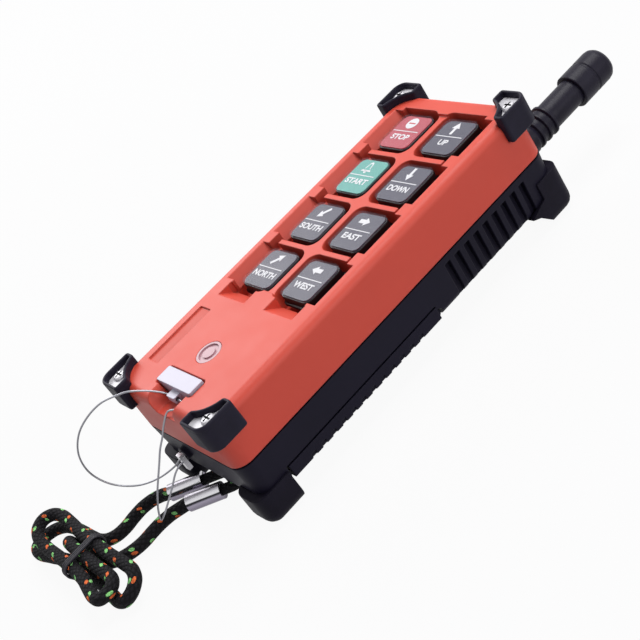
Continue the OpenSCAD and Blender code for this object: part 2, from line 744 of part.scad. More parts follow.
// The small eye on the lower end that the tether clip hangs from
module clip_eye() {
  translate([clip_x, low_y + wall / 2, clip_z]) rotate([90, 0, 0]) difference() {
    cylinder(r = 1.5 * clip_ring_r, h = clip_eye_l + wall / 2);
    translate([0, 0, wall / 2 + slide_gap]) cylinder(r = 0.75 * clip_ring_r, h = clip_eye_l + over);
  }
}

module shell_gasket() color("black") difference() {
  translate([0, mid_y, seam_z - seal_h / 2])
    plate(case_w - 2 * rim_w, case_l - 2 * rim_w, corner_r - rim_w, seal_h);
  translate([0, mid_y, seam_z - seal_h]) plate(inner_w, inner_l, corner_r - wall, 2 * seal_h);
  case_screw_places() translate([0, 0, seam_z - seal_h])
    cylinder(r = case_screw_r + slide_gap, h = 2 * seal_h);
  along_y([antenna_x, high_y - 3 * wall, antenna_z], core_thread_r, 4 * wall);
}

module guard(sx, sy) color(black) guard_place(sx, sy) difference() {
  translate([0, 0, guard_low_z]) linear_extrude(guard_rim_z - guard_low_z) polygon(guard_plan(0));
  translate([0, 0, deck_z]) linear_extrude(guard_rim_z) polygon(guard_plan(guard_wall));
  guard_boss(slide_gap);
  translate([screw_at[0], screw_at[1], guard_rim_z - screw_l])
    cylinder(r = screw_r + slide_gap, h = screw_l);
}

module corner_plates() color(steel) for (sx = [-1, 1]) for (sy = [-1, 1]) guard_place(sx, sy) difference() {
  translate([0, 0, deck_z]) linear_extrude(plate_t) polygon(guard_plan(guard_wall + slide_gap));
  translate([screw_at[0], screw_at[1], deck_z - over])
    cylinder(r = screw_r + slide_gap, h = plate_t + 2 * over);
}

// A cross-head screw, its head on zero and its shank below
module cross_screw(r, head_r, l) difference() {
  union() {
    translate([0, 0, -l]) cylinder(r = r, h = l + screw_head_h / 2);
    rotate_extrude()
      polygon([[0, 0], [head_r, 0], [head_r, 0.45 * screw_head_h],
               [0.8 * head_r, 0.85 * screw_head_h], [0.5 * head_r, screw_head_h], [0, screw_head_h]]);
  }
  for (a = [0, 90]) rotate([0, 0, a]) translate([0, 0, screw_head_h])
    cube([1.3 * head_r, 0.25 * head_r, 2 * screw_cross_d], center = true);
}

module corner_screws() color(steel) for (sx = [-1, 1]) for (sy = [-1, 1]) guard_place(sx, sy)
  translate([screw_at[0], screw_at[1], plate_top_z]) cross_screw(screw_r, screw_head_r, screw_l);

module case_screws() color(steel) case_screw_places()
  translate([0, 0, shell_floor_z + case_screw_depth]) mirror([0, 0, 1])
    cross_screw(case_screw_r, case_screw_head_r,
                case_screw_top_z - shell_floor_z - case_screw_depth);

// A foot is a rounded block, cut square at its inner end; an upper foot runs on as a ramp
module foot(sx, sy) {
  end_y = sy < 0 ? low_y - foot_end : high_y + foot_end;
  out_x = case_w / 2 - rear_draft + foot_side;
  w = foot_w + foot_side;
  l = foot_end + (sy < 0 ? foot_low_l : foot_high_l);
  ramp_l = sy < 0 ? 0 : foot_ramp_l;
  top_z = sy < 0 ? foot_low_top_z : foot_high_top_z;
  steps = [0 : 18 : 90];
  profile = concat(
    [[0, 0]],
    [for (a = steps) [foot_r - foot_edge_r + foot_edge_r * sin(a), foot_edge_r - foot_edge_r * cos(a)]],
    [[foot_r, top_z], [0, top_z]]);
  side = [[0, 0], [l - ramp_l / 7, 0], [l + 0.6 * ramp_l, 0.85 * foot_ramp_z],
          [l + ramp_l, foot_ramp_z + fit_gap], [l, shell_floor_z + floor_edge_r], [l, top_z], [0, top_z]];
  color(black) difference() {
    translate([sx * out_x, end_y, 0])
      mirror([sx > 0 ? 1 : 0, 0, 0]) mirror([0, sy > 0 ? 1 : 0, 0]) intersection() {
        hull() for (x = [foot_r, w - foot_r]) for (y = [foot_r, l + ramp_l + foot_r])
          translate([x, y, 0]) rotate_extrude($fn = hull_fn) polygon(profile);
        rotate([90, 0, 90]) linear_extrude(w) polygon(side);
      }
    rear_body();
  }
}

module circuit_board() color(board_green) difference() {
  translate([0, mid_y, board_z]) plate(board_w, board_l, board_r, board_t);
  case_screw_places() cylinder(r = pillar_r + wall + fit_gap, h = deck_z);
}

module key_switches() color(black) for (i = [0 : 7]) key_place(i) difference() {
  translate([0, 0, board_top_z]) plate(switch_w, switch_w, switch_r, switch_top_z - board_top_z);
  translate([0, 0, board_top_z + slide_gap]) cylinder(r = stem_r + slide_gap, h = switch_top_z);
}

module status_led() color("white") translate([0, keys_y - lens_down, board_top_z]) {
  led_r = 0.58 * lens_r;
  h = deck_under_z - board_top_z - 3.5 * fit_gap;
  cylinder(r = led_r, h = h - led_r);
  translate([0, 0, h - led_r]) sphere(r = led_r);
}

module led_lens() color([0.9, 0.7, 0.72]) translate([0, keys_y - lens_down, 0]) difference() {
  union() {
    translate([0, 0, deck_under_z - fit_gap]) cylinder(r = 1.25 * lens_r, h = fit_gap);
    translate([0, 0, deck_under_z - fit_gap]) cylinder(r = lens_r, h = deck_t + fit_gap);
  }
  translate([0, 0, deck_z - label_d]) difference() {
    cylinder(r = 0.82 * lens_r, h = deck_t);
    cylinder(r = 0.5 * lens_r, h = deck_t);
  }
}

module key_sensor() color(black) translate([0, safety_y, board_top_z])
  plate(sensor_w, sensor_l, sensor_l / 10, valley_low_z - safety_wall - board_top_z);

module radio_module() color(steel) translate([0, mid_y + case_l / 3, board_z - radio_t])
  plate(radio_w, radio_l, radio_t / 5, radio_t);

module antenna_core() color(brass) {
  along_y([antenna_x, high_y - 2 * wall, antenna_z], core_thread_r - slide_gap,
          antenna_base_y - high_y + 2 * wall);
  along_y([antenna_x, high_y - 2 * wall, antenna_z], core_r, sleeve_end_y - high_y);
}

module antenna_sleeve() {
  ring_w = ringed_l / (2 * ring_count + 3);
  plain_from = ringed_l;
  l = sleeve_end_y - antenna_base_y;
  rings = [for (k = [0 : ring_count - 1]) let (s = ringed_l - (2 * k + 2) * ring_w)
    for (p = [[sleeve_ring_r - 0.5 * ring_w, s], [sleeve_ring_r, s + 0.25 * ring_w],
              [sleeve_ring_r, s + 0.75 * ring_w], [sleeve_ring_r - 0.5 * ring_w, s + ring_w]]) [p[1], p[0]]];
  ordered = [for (k = [ring_count - 1 : -1 : 0]) for (j = [0 : 3]) rings[4 * k + j]];
  profile = concat(
    [[core_r, 0], [sleeve_ring_r, 0], [sleeve_ring_r, 2 * ring_w]],
    [for (p = ordered) [p[1], p[0]]],
    [[sleeve_r, ringed_l], [sleeve_r, l], [core_r, l]]);
  color(black) translate([antenna_x, antenna_base_y, antenna_z])
    rotate([-90, 0, 0]) rotate_extrude() polygon(profile);
}

module antenna_cap() {
  r = antenna_cap_r;
  l = antenna_cap_l;
  inside = sleeve_end_y - cap_start_y;
  color(black) translate([antenna_x, cap_start_y, antenna_z]) rotate([-90, 0, 0]) rotate_extrude()
    polygon([[sleeve_r, 0], [0.96 * r, 0], [r, 0.04 * r], [r, 0.42 * l], [0.95 * r, 0.44 * l],
             [0.95 * r, 0.48 * l], [r, 0.5 * l], [r, 0.82 * l], [0.96 * r, 0.9 * l], [0.85 * r, 0.96 * l],
             [0.66 * r, l], [0, l], [0, inside], [sleeve_r, inside]]);
}

// A cell stands on its flat end at zero and points along +Y
module cell() {
  nub_l = 0.028 * cell_l;
  nub_r = 0.37 * cell_r;
  along_y([0, 0, 0], cell_r, cell_l - nub_l);
  along_y([0, cell_l - nub_l, 0], nub_r, nub_l);
}

module bay_side(sx) {
  far = sx > 0;
  translate([sx * cell_x, far ? bay_high_y : bay_low_y, cell_z])
    rotate([0, 0, far ? 180 : 0]) children();
}

module battery_cells() color("goldenrod") for (sx = [-1, 1])
  bay_side(sx) translate([0, contact_t + spring_l, 0]) cell();

module battery_contacts() color(steel) {
  for (y = [bay_low_y, bay_high_y - contact_t]) for (sx = [-1, 1])
    translate([sx * cell_x - 0.8 * cell_r, y, cell_z - 0.8 * cell_r])
      cube([1.6 * cell_r, contact_t, 1.6 * cell_r]);
  for (sx = [-1, 1]) bay_side(sx) translate([0, contact_t / 2, 0]) rotate([-90, 0, 0])
    cylinder(r1 = 0.75 * cell_r, r2 = 0.4 * cell_r, h = spring_l + contact_t / 2);
}

module battery_cover() color(black) difference() {
  half_w = case_w / 2 - rear_draft + cover_proud;
  side_l = hinge_y - cover_low_y;
  edge = cover_t / 4;
  union() {
    difference() {
      translate([0, hinge_y, 0]) rotate([90, 0, 0]) linear_extrude(side_l)
        polygon([[-half_w + edge, shell_floor_z], [half_w - edge, shell_floor_z],
                 [half_w, shell_floor_z + edge], [half_w, cover_side_z],
                 [-half_w, cover_side_z], [-half_w, shell_floor_z + edge]]);
      translate([-half_w + cover_t, cover_low_y + cover_t, shell_floor_z + cover_t])
        cube([2 * (half_w - cover_t), side_l, cover_side_z]);
    }
    along_x([0, hinge_y, hinge_z], hinge_r, 2 * (half_w - cover_t));
    translate([0, cover_screw_y, shell_floor_z])
      cylinder(r = cover_screw_head_r + wall / 3, h = cover_side_z - shell_floor_z - fit_gap);
  }
  for (sx = [-1, 1]) {
    along_x([sx * ear_x, hinge_y, hinge_z], hinge_r + fit_gap, ear_w + 2 * fit_gap);
    along_x([sx * ear_x, hinge_y, hinge_z], hinge_pin_r + pin_play, ear_w + 3 * pin_reach);
    for (i = [0 : notch_count - 1])
      translate([sx * half_w, cover_low_y + cover_l / 8 + i * notch_pitch, shell_floor_z])
        cube([cover_t, 0.42 * notch_pitch, 2.2 * cover_t], center = true);
  }
  translate([0, cover_screw_y, shell_floor_z - over])
    cylinder(r = cover_screw_head_r + fit_gap, h = cover_t + over);
  translate([0, cover_screw_y, shell_floor_z])
    cylinder(r = cover_screw_r + slide_gap, h = cover_side_z);
}

module cover_screw() color(steel) difference() {
  translate([0, cover_screw_y, shell_floor_z]) {
    cylinder(r = cover_screw_head_r, h = cover_t);
    cylinder(r = cover_screw_r, h = cover_side_z - shell_floor_z + 2 * bay_wall);
  }
  translate([0, cover_screw_y, shell_floor_z])
    cube([3 * cover_screw_head_r, 0.3 * cover_screw_head_r, cover_t], center = true);
}

module safety_key() color("white") difference() {
  union() {
    translate([0, safety_y, safety_low_z])
      plate(safety_w, safety_l, safety_r, deck_z + safety_proud - safety_low_z);
    translate([0, tail_y + over / 2, eye_z - 0.4 * tail_l])
      plate(tail_w, tail_l + over, safety_r, 0.8 * tail_l);
  }
  along_x([0, eye_y, eye_z], eye_r, 2 * tail_w);
  translate([0, safety_y, safety_low_z - over]) cylinder(r = magnet_r, h = magnet_t + over);
}

module safety_magnet() color(steel)
  translate([0, safety_y, safety_low_z]) cylinder(r = magnet_r, h = magnet_t);

module tether_wire() color(steel) tube(wire_points, wire_r, 8);

module tether_clip() color(steel) {
  face_y = low_y - clip_eye_l - fit_gap;
  translate([clip_x, face_y - clip_t / 2, clip_z]) rotate([-90, 0, 0])
    cylinder(r = 0.6 * clip_ring_r, h = clip_eye_l + fit_gap);
  translate([clip_x - clip_ring_r, face_y - clip_t, clip_z - 3.4 * clip_ring_r])
    cube([1.5 * clip_ring_r, clip_t, 4 * clip_ring_r]);
}

module lanyard_frame() {
  translate([post_at[0], post_at[1], lanyard_z]) rotate([0, 0, lanyard_turn - 90]) children();
}

module lanyard_loop() color(black) lanyard_frame() {
  rotate_extrude(angle = 180) translate([loop_turn_r, 0]) circle(loop_cord_r);
  for (leg = [[-1, leg_far], [1, leg_near]])
    translate([leg[0] * loop_turn_r, 0, 0])
      rotate([90, 0, 0]) cylinder(r = loop_cord_r, h = leg[1] + loop_in_ferrule);
}

module rope_ferrules() color(steel) lanyard_frame() for (leg = [[-1, leg_far], [1, leg_near]])
  translate([leg[0] * loop_turn_r, -leg[1], 0]) rotate([90, 0, 0]) difference() {
    cylinder(r = ferrule_r, h = ferrule_l);
    translate([0, 0, -over]) cylinder(r = loop_cord_r, h = loop_in_ferrule + 2 * over);
    translate([0, 0, loop_in_ferrule]) cylinder(r = rope_r + slide_gap, h = ferrule_l);
  }

// The hank's centreline: five lobes, each from one run through the waist to the next
function eased(f) = let (s = 2 * f - 1) 0.5 + 0.5 * sign(s) * pow(abs(s), 1.5);
function hank_point(u) =
  let (k = min(floor(u), 4), f = eased(u - k), dir = k % 2 == 0 ? -1 : 1,
       reach = (dir < 0 ? hank_left : hank_right) * lobe_reach_shares[k],
       y0 = run_y_shares[k] * hank_step, y1 = run_y_shares[k + 1] * hank_step,
       side = y0 > y1 ? 1 : -1,
       bulge = sin(360 * f) * (1 - cos(360 * f)) / 1.3,
       waist = pow(abs(cos(180 * f)), 6),
       tip = pow(sin(180 * f), 2),
       z0 = run_z_shares[k], z1 = run_z_shares[k + 1],
       climb = f < 0.25 ? 0 : f > 0.75 ? 1 : (1 - cos(360 * (f - 0.25))) / 2)
  [hank_at[0] + dir * reach * sin(180 * f),
   hank_at[1] + (y0 + y1) / 2 + (y0 - y1) / 2 * cos(180 * f)
     + side * hank_swell * lobe_swell_shares[k] * bulge + hank_swell * lobe_shift_shares[k] * tip,
   hank_low_z + tie_t * waist + hank_step * (z0 + (z1 - z0) * climb + lobe_rise_shares[k] * tip * tip)];
hank_path = [for (i = [1 : 5 * hank_rings]) hank_point(i / hank_rings)];

// Least gap of the hank to itself, on points well apart along the rope
hank_fine = [for (i = [5 : 300]) hank_point(i / 60)];
hank_run = [for (i = 0, run = 0; i < len(hank_fine);
  run = run + norm(hank_fine[min(i + 1, len(hank_fine) - 1)] - hank_fine[i]), i = i + 1) run];
hank_gap = min([for (i = [0 : len(hank_fine) - 1]) for (j = [i + 1 : len(hank_fine) - 1])
  if (hank_run[j] - hank_run[i] > 7 * rope_r) norm(hank_fine[i] - hank_fine[j])]) - 2 * rope_r;
echo(hank_gap = hank_gap);

module rope_hank() color(black) tube(hank_path, rope_r, 6);

// Each strand ends straight, square to the end of the hank that it meets
module strand(points, at, next) tube(concat(points, [at + unit(at - next) * rope_r, at]), rope_r, 8);

module lanyard_rope() color(black) {
  n = len(hank_path);
  strand(strand_one, hank_path[0], hank_path[1]);
  strand(strand_two, hank_path[n - 1], hank_path[n - 2]);
}

// Outline of the taut tie, a named distance outside the centres of the outer runs
function tie_outline(r) =
  let (low = hank_low_z + tie_t, high = low + hank_step,
       lean = atan2(hank_step / 2, hank_step),
       bends = [[hank_step / 2, low, -90, -lean], [hank_step, high, -lean, 90],
                [-hank_step, high, 90, 180 + lean], [-hank_step / 2, low, 180 + lean, 270]])
  [for (b = bends) for (k = [0 : 6])
    let (a = b[2] + (b[3] - b[2]) * k / 6) [b[0] + r * cos(a), b[1] + r * sin(a)]];

module hank_tie() color(black)
  translate([hank_at[0] - tie_w / 2, hank_at[1], 0])
    rotate([90, 0, 90]) linear_extrude(tie_w) difference() {
    polygon(tie_outline(rope_r + rope_clear + tie_t));
    polygon(tie_outline(rope_r + rope_clear));
  }

module key_base(i) color(black) key_place(i) {
  translate([0, 0, key_skirt_low_z]) plate(key_w, key_l, key_r, base_top_z - key_skirt_low_z);
  translate([0, 0, key_skirt_low_z])
    plate(key_w + 2 * key_skirt_out, key_l + 2 * key_skirt_out, key_r, key_skirt_t);
  translate([0, 0, stem_low_z]) cylinder(r = stem_r, h = base_top_z - stem_low_z);
}

module key_card(i) color(i == 0 ? "indianred" : i == 1 ? "mediumaquamarine" : "slategray") key_place(i)
  translate([0, 0, base_top_z])
    plate(key_w - 2 * card_in, key_l - 2 * card_in, key_r - card_in / 2, card_t);

module key_cap(i) color([0.6, 0.6, 0.65]) key_place(i) difference() {
  translate([0, 0, base_top_z]) plate(key_w, key_l, key_r, cap_t + card_t);
  translate([0, 0, base_top_z - over])
    plate(key_w - 2 * card_in, key_l - 2 * card_in, key_r - card_in / 2, card_t + over);
}

front_shell();
rear_shell();
shell_gasket();
guard(-1, -1);  // guard_lower_left
guard(1, -1);  // guard_lower_right
guard(-1, 1);  // guard_upper_left
guard(1, 1);  // guard_upper_right
foot(-1, -1);  // foot_lower_left
foot(1, -1);  // foot_lower_right
foot(-1, 1);  // foot_upper_left
foot(1, 1);  // foot_upper_right
corner_plates();
corner_screws();
circuit_board();
key_switches();
status_led();
led_lens();
key_sensor();
radio_module();
antenna_core();
antenna_sleeve();
antenna_cap();
battery_cells();
case_screws();
battery_contacts();
battery_cover();
cover_screw();
safety_key();
safety_magnet();
tether_wire();
tether_clip();
lanyard_loop();
rope_ferrules();
lanyard_rope();
rope_hank();
hank_tie();
for (i = [0 : 7]) {
  key_base(i);
  key_card(i);
  key_cap(i);
}
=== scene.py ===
"""Looks for the crane radio remote control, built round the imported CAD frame. Metres throughout."""

import math

import bmesh
import bpy
import numpy as np
from mathutils import Matrix, Vector


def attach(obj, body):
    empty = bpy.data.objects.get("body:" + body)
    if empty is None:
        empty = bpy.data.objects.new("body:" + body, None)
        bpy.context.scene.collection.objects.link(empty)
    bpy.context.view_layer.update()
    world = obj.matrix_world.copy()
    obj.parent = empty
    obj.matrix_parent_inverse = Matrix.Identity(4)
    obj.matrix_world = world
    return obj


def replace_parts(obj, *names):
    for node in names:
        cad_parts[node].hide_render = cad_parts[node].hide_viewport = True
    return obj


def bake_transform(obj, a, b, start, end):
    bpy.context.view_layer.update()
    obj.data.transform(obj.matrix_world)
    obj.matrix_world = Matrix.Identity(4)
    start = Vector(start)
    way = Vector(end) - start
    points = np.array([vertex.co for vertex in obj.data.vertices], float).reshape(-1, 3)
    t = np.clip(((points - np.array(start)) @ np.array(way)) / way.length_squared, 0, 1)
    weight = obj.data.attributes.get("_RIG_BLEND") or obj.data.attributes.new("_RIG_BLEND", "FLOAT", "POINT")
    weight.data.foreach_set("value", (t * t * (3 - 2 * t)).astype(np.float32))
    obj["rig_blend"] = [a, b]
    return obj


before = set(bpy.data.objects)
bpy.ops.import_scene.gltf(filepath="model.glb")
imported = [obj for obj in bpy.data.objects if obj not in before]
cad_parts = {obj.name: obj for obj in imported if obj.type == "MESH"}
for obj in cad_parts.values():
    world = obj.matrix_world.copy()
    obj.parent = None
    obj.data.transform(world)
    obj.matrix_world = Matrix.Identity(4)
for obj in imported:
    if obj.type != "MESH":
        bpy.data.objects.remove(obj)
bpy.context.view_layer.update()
MM = 0.001
KEYS = ["stop", "start", "south", "north", "up", "down", "east", "west"]


# Camera, from the fit to the photograph
PHOTO_PX, FOCAL_PX, SENSOR_MM = 640, 1350.065, 36


def make_camera():
    data = bpy.data.cameras.new("camera")
    data.sensor_width = SENSOR_MM
    data.lens = FOCAL_PX / PHOTO_PX * SENSOR_MM
    data.clip_start, data.clip_end = 0.01, 20
    cam = bpy.data.objects.new("camera", data)
    bpy.context.collection.objects.link(cam)
    right = (0.567305, 0.658747, -0.494183)
    up = (-0.190872, 0.688936, 0.699239)
    back = (0.801082, -0.302356, 0.516573)
    m = Matrix([list(col) for col in zip(right, up, back)]).to_4x4()
    m.translation = Vector((0.32906, -0.15676, 0.23248))
    cam.matrix_world = m
    bpy.context.scene.camera = cam


make_camera()


# Meshes
def new_object(name, verts, faces, smooth=True):
    """An object in the scene with a mesh of its own."""
    mesh = bpy.data.meshes.new(name)
    mesh.from_pydata([tuple(v) for v in verts], [], faces)
    mesh.validate()
    mesh.update()
    if smooth:
        mesh.shade_smooth()
    obj = bpy.data.objects.new(name, mesh)
    bpy.context.collection.objects.link(obj)
    return obj


def run_of(path):
    """The length along a path, up to each of its points."""
    return np.concatenate([[0], np.cumsum(np.linalg.norm(np.diff(path, axis=0), axis=1))])


SPAN_POINTS = 16  # of the fine curve, between two points of a path


def catmull(points, step):
    """Points a fixed step apart along a centripetal Catmull-Rom curve."""
    p = np.array(points, float)
    p = np.vstack([2 * p[0] - p[1], p, 2 * p[-1] - p[-2]])
    out = []
    for i in range(1, len(p) - 2):
        a, b, c, d = p[i - 1 : i + 3]
        t0 = 0
        t1 = t0 + max(np.linalg.norm(b - a), 1e-9) ** 0.5
        t2 = t1 + max(np.linalg.norm(c - b), 1e-9) ** 0.5
        t3 = t2 + max(np.linalg.norm(d - c), 1e-9) ** 0.5
        for t in np.linspace(t1, t2, SPAN_POINTS, endpoint=False):
            a1 = (t1 - t) / (t1 - t0) * a + (t - t0) / (t1 - t0) * b
            a2 = (t2 - t) / (t2 - t1) * b + (t - t1) / (t2 - t1) * c
            a3 = (t3 - t) / (t3 - t2) * c + (t - t2) / (t3 - t2) * d
            b1 = (t2 - t) / (t2 - t0) * a1 + (t - t0) / (t2 - t0) * a2
            b2 = (t3 - t) / (t3 - t1) * a2 + (t - t1) / (t3 - t1) * a3
            out.append((t2 - t) / (t2 - t1) * b1 + (t - t1) / (t2 - t1) * b2)
    out.append(p[-2])
    out = np.array(out)
    run = run_of(out)
    n = max(2, int(round(run[-1] / step)))
    at = np.linspace(0, run[-1], n + 1)
    return np.stack([np.interp(at, run, out[:, k]) for k in range(3)], axis=1)


EASE = 0.2  # millimetres, over which a curve turns level at its limit


def above(values, low):
    """Values eased to stay above a limit, so that a curve meets it without a corner."""
    return low + EASE * np.logaddexp(0, (values - low) / EASE)


def sweep(name, path, radius, sides):
    """A tube along a path, with a UV map: metres along it, and turns round it."""
    path = np.array(path, float)
    n = len(path)
    d = np.gradient(path, axis=0)
    d /= np.linalg.norm(d, axis=1)[:, None]
    side = np.cross(d[0], (0, 0, 1) if abs(d[0][2]) < 0.9 else (1, 0, 0))
    verts = []
    for i in range(n):
        side = side - d[i] * (side @ d[i])
        side /= np.linalg.norm(side)
        other = np.cross(d[i], side)
        for k in range(sides):
            a = 2 * math.pi * k / sides
            verts.append(path[i] + radius * (math.cos(a) * side + math.sin(a) * other))
    faces = []
    for i in range(n - 1):
        for k in range(sides):
            a, b = i * sides + k, i * sides + (k + 1) % sides
            faces.append((a, b, b + sides, a + sides))
    walls = len(faces)
    faces.append(tuple(range(sides))[::-1])
    faces.append(tuple(range((n - 1) * sides, n * sides)))
    obj = new_object(name, verts, faces)
    run = run_of(path)
    uv = obj.data.uv_layers.new(name="along")
    for f, poly in enumerate(obj.data.polygons):
        i, k = divmod(f, sides)
        for loop in poly.loop_indices:
            v = obj.data.loops[loop].vertex_index
            ring, turn = divmod(v, sides)
            t = turn / sides
            if f < walls and k == sides - 1 and turn == 0:
                t = 1.0
            uv.data[loop].uv = (run[ring], t)
    obj.data.update()
    return obj


# The rope: strand one, the hank by its formula, strand two, as in the part's source
STRAND_ONE = [
    (-14.7, -92.05, 3), (-17.4, -94.95, 3), (-20, -97.8, 3), (-22.8, -99.7, 2.8),
    (-25.4, -102.4, 2.5), (-26.9, -106.2, 2.3), (-26.9, -110.4, 2.2), (-26.3, -114.2, 2.2),
    (-26.7, -117.6, 2.2), (-28.4, -120.4, 2.3), (-31.4, -122.2, 2.6)]
STRAND_TWO = [
    (-3.75, -91.9, 3), (-6.4, -94.75, 3), (-9.1, -97.6, 3), (-11, -100.4, 2.7),
    (-12.8, -103.6, 2.4), (-13.8, -107.4, 2.2), (-13.8, -111.2, 2.2), (-13.6, -114.8, 2.2),
    (-14.2, -118.2, 2.2), (-15.8, -121.8, 2.2), (-18.1, -125, 2.4), (-20.6, -126.8, 2.8)]
CORD_STEP, CORD_SIDES = 0.6, 20
ROPE_R = 2.1
ROPE_LOW_Y = -137.05
HANK_X, HANK_Y, HANK_Z = -23, -129.6, 2.25
HANK_LEFT, HANK_RIGHT, HANK_STEP, HANK_SWELL = 32, 27, 4.9, 3
TIE_T = 0.9
# The places of the hank's runs, in steps across and up, then each fold's reach, swell, shift and rise
RUNS = [(1.5, 0), (-0.5, 0), (1, 1), (-1, 1), (0, 1), (0.5, 0)]
FOLDS = [
    (1.06, 1.1, -1.7, 0), (0.97, 0.8, -0.1, 0), (0.93, 0.8, 0.3, 0.5), (0.79, 0.8, -0.7, 0), (0.48, 0, 0, 0)]
FOLD_POINTS = 12


def hank_point(u):
    """A point of the hank; u counts the folds passed."""
    k = min(int(math.floor(u)), len(FOLDS) - 1)
    reach, swell, shift, rise = FOLDS[k]
    (y0, z0), (y1, z1) = RUNS[k], RUNS[k + 1]
    y0, y1 = y0 * HANK_STEP, y1 * HANK_STEP
    # f runs from 0 to 1 over the fold, and slows down at its tip
    s = 2 * (u - k) - 1
    f = 0.5 + 0.5 * math.copysign(abs(s) ** 1.5, s)
    turn = math.pi * f
    out = -HANK_LEFT if k % 2 == 0 else HANK_RIGHT
    side = 1 if y0 > y1 else -1
    bulge = math.sin(2 * turn) * (1 - math.cos(2 * turn)) / 1.3  # from -1 to 1
    tip = math.sin(turn) ** 2
    climb = 0 if f < 0.25 else 1 if f > 0.75 else (1 - math.cos(2 * turn - math.pi / 2)) / 2
    across = (y0 + y1) / 2 + (y0 - y1) / 2 * math.cos(turn)
    waist = abs(math.cos(turn)) ** 6
    return (
        HANK_X + out * reach * math.sin(turn),
        HANK_Y + across + HANK_SWELL * (side * swell * bulge + shift * tip),
        HANK_Z + TIE_T * waist + HANK_STEP * (z0 + (z1 - z0) * climb + rise * tip * tip))


hank = [hank_point(i / FOLD_POINTS) for i in range(1, len(FOLDS) * FOLD_POINTS + 1)]
rope_path = catmull(STRAND_ONE + hank + STRAND_TWO[::-1], CORD_STEP)
rope_path[:, 1] = above(rope_path[:, 1], ROPE_LOW_Y)
rope_path *= MM
rope = sweep("lanyard_cord", rope_path, ROPE_R * MM, CORD_SIDES)
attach(rope, "handset")
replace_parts(rope, "lanyard_rope", "rope_hank")

# The short cord loop round the post, down to the two ferrules
POST_X, POST_Y, LOOP_Z, LOOP_TURN = -1.6, -83.8, 3, math.radians(-43)
LOOP_BEND, LOOP_R = 3.95, 1.7


def loop_point(x, y):
    c, s = math.cos(LOOP_TURN), math.sin(LOOP_TURN)
    return POST_X + c * x - s * y, POST_Y + s * x + c * y, LOOP_Z


loop_way = [(-LOOP_BEND, y) for y in (-14.8, -12, -9, -6, -3, 0)]
loop_way += [(-LOOP_BEND * math.cos(a), LOOP_BEND * math.sin(a)) for a in np.radians(range(15, 180, 15))]
loop_way += [(LOOP_BEND, y) for y in (0, -3.6, -7.2)]
loop_path = catmull([loop_point(x, y) for x, y in loop_way], CORD_STEP) * MM
loop = sweep("post_loop_cord", loop_path, LOOP_R * MM, CORD_SIDES)
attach(loop, "handset")
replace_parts(loop, "lanyard_loop")

# The elastic tie round the hank: three round strands side by side, where the part's source has a band
TIE_R, TIE_SIDES, TIE_WAY, TIE_LOW = 0.43, 14, 2.7, HANK_Z + TIE_T
WELD = 0.00002


def tie_strand(name, x):
    """A closed strand round the outer runs, a fixed distance from their centres."""
    step, lean = HANK_STEP, math.degrees(math.atan2(1, 2))
    bends = ((step / 2, 0, -90, -lean), (step, step, -lean, 90),
             (-step, step, 90, 180 + lean), (-step / 2, 0, 180 + lean, 270))
    way = [(x, HANK_Y + y + TIE_WAY * math.cos(a), TIE_LOW + z + TIE_WAY * math.sin(a))
           for y, z, start, stop in bends for a in np.radians(np.linspace(start, stop, 13))]
    strand = sweep(name, np.array(way) * MM, TIE_R * MM, TIE_SIDES)
    bm = bmesh.new()
    bm.from_mesh(strand.data)
    bmesh.ops.delete(bm, geom=[f for f in bm.faces if len(f.verts) > 4], context="FACES_ONLY")
    bmesh.ops.remove_doubles(bm, verts=bm.verts, dist=WELD)
    bm.to_mesh(strand.data)
    bm.free()
    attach(strand, "handset")
    return strand


ties = [tie_strand("elastic_tie_%d" % (i + 1), HANK_X + 2 * TIE_R * (i - 1)) for i in range(3)]
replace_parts(ties[1], "hank_tie")

# The tether wire, as in the part's source
WIRE = [
    (-7.4, -90.5, 17.8), (-13.4, -92.8, 13), (-19, -98.3, 10.8), (-24.4, -103.7, 11.2),
    (-29, -108.4, 15.2), (-31.3, -110.6, 21.6), (-30.6, -109.9, 29), (-27, -106.3, 36.4),
    (-21.8, -101.1, 41.6), (-16.4, -95.7, 44.4), (-11.6, -90.9, 44.6), (-8.4, -86.8, 42.2),
    (-6.4, -84.2, 39.8), (-4.8, -82.8, 38.2), (-2.4, -82.7, 38), (2.4, -82.7, 38),
    (4.8, -82.9, 37.9), (5.2, -84.4, 37.6), (3.6, -85.6, 37.2), (1, -87, 36.8),
    (-0.6, -89.6, 34), (-2, -92.2, 30.4), (-3.6, -94.9, 26.9), (-5, -97.4, 23),
    (-6.5, -99.9, 19.1), (-7.9, -102.4, 15.2), (-9.1, -104.5, 11.5), (-10, -106.1, 8.2),
    (-10.6, -107.1, 5.1), (-9.4, -105.2, 6.6), (-9.4, -102, 8.6),
    (-8.2, -98.4, 12), (-8.2, -95.2, 14.4), (-7.9, -92.8, 15.5), (-7.8, -91, 15.4)]
WIRE_R, WIRE_STEP, WIRE_SIDES = 0.3, 0.4, 12
WIRE_TOP_Z = 44.55
wire_path = catmull(WIRE, WIRE_STEP)
wire_path[:, 2] = -above(-wire_path[:, 2], -WIRE_TOP_Z)
wire_path *= MM
wire = sweep("tether_wire_bright", wire_path, WIRE_R * MM, WIRE_SIDES)
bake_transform(wire, "handset", "safety_key", start=(0, -0.0905, 0.0175), end=(0, -0.0827, 0.0380))
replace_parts(wire, "tether_wire")


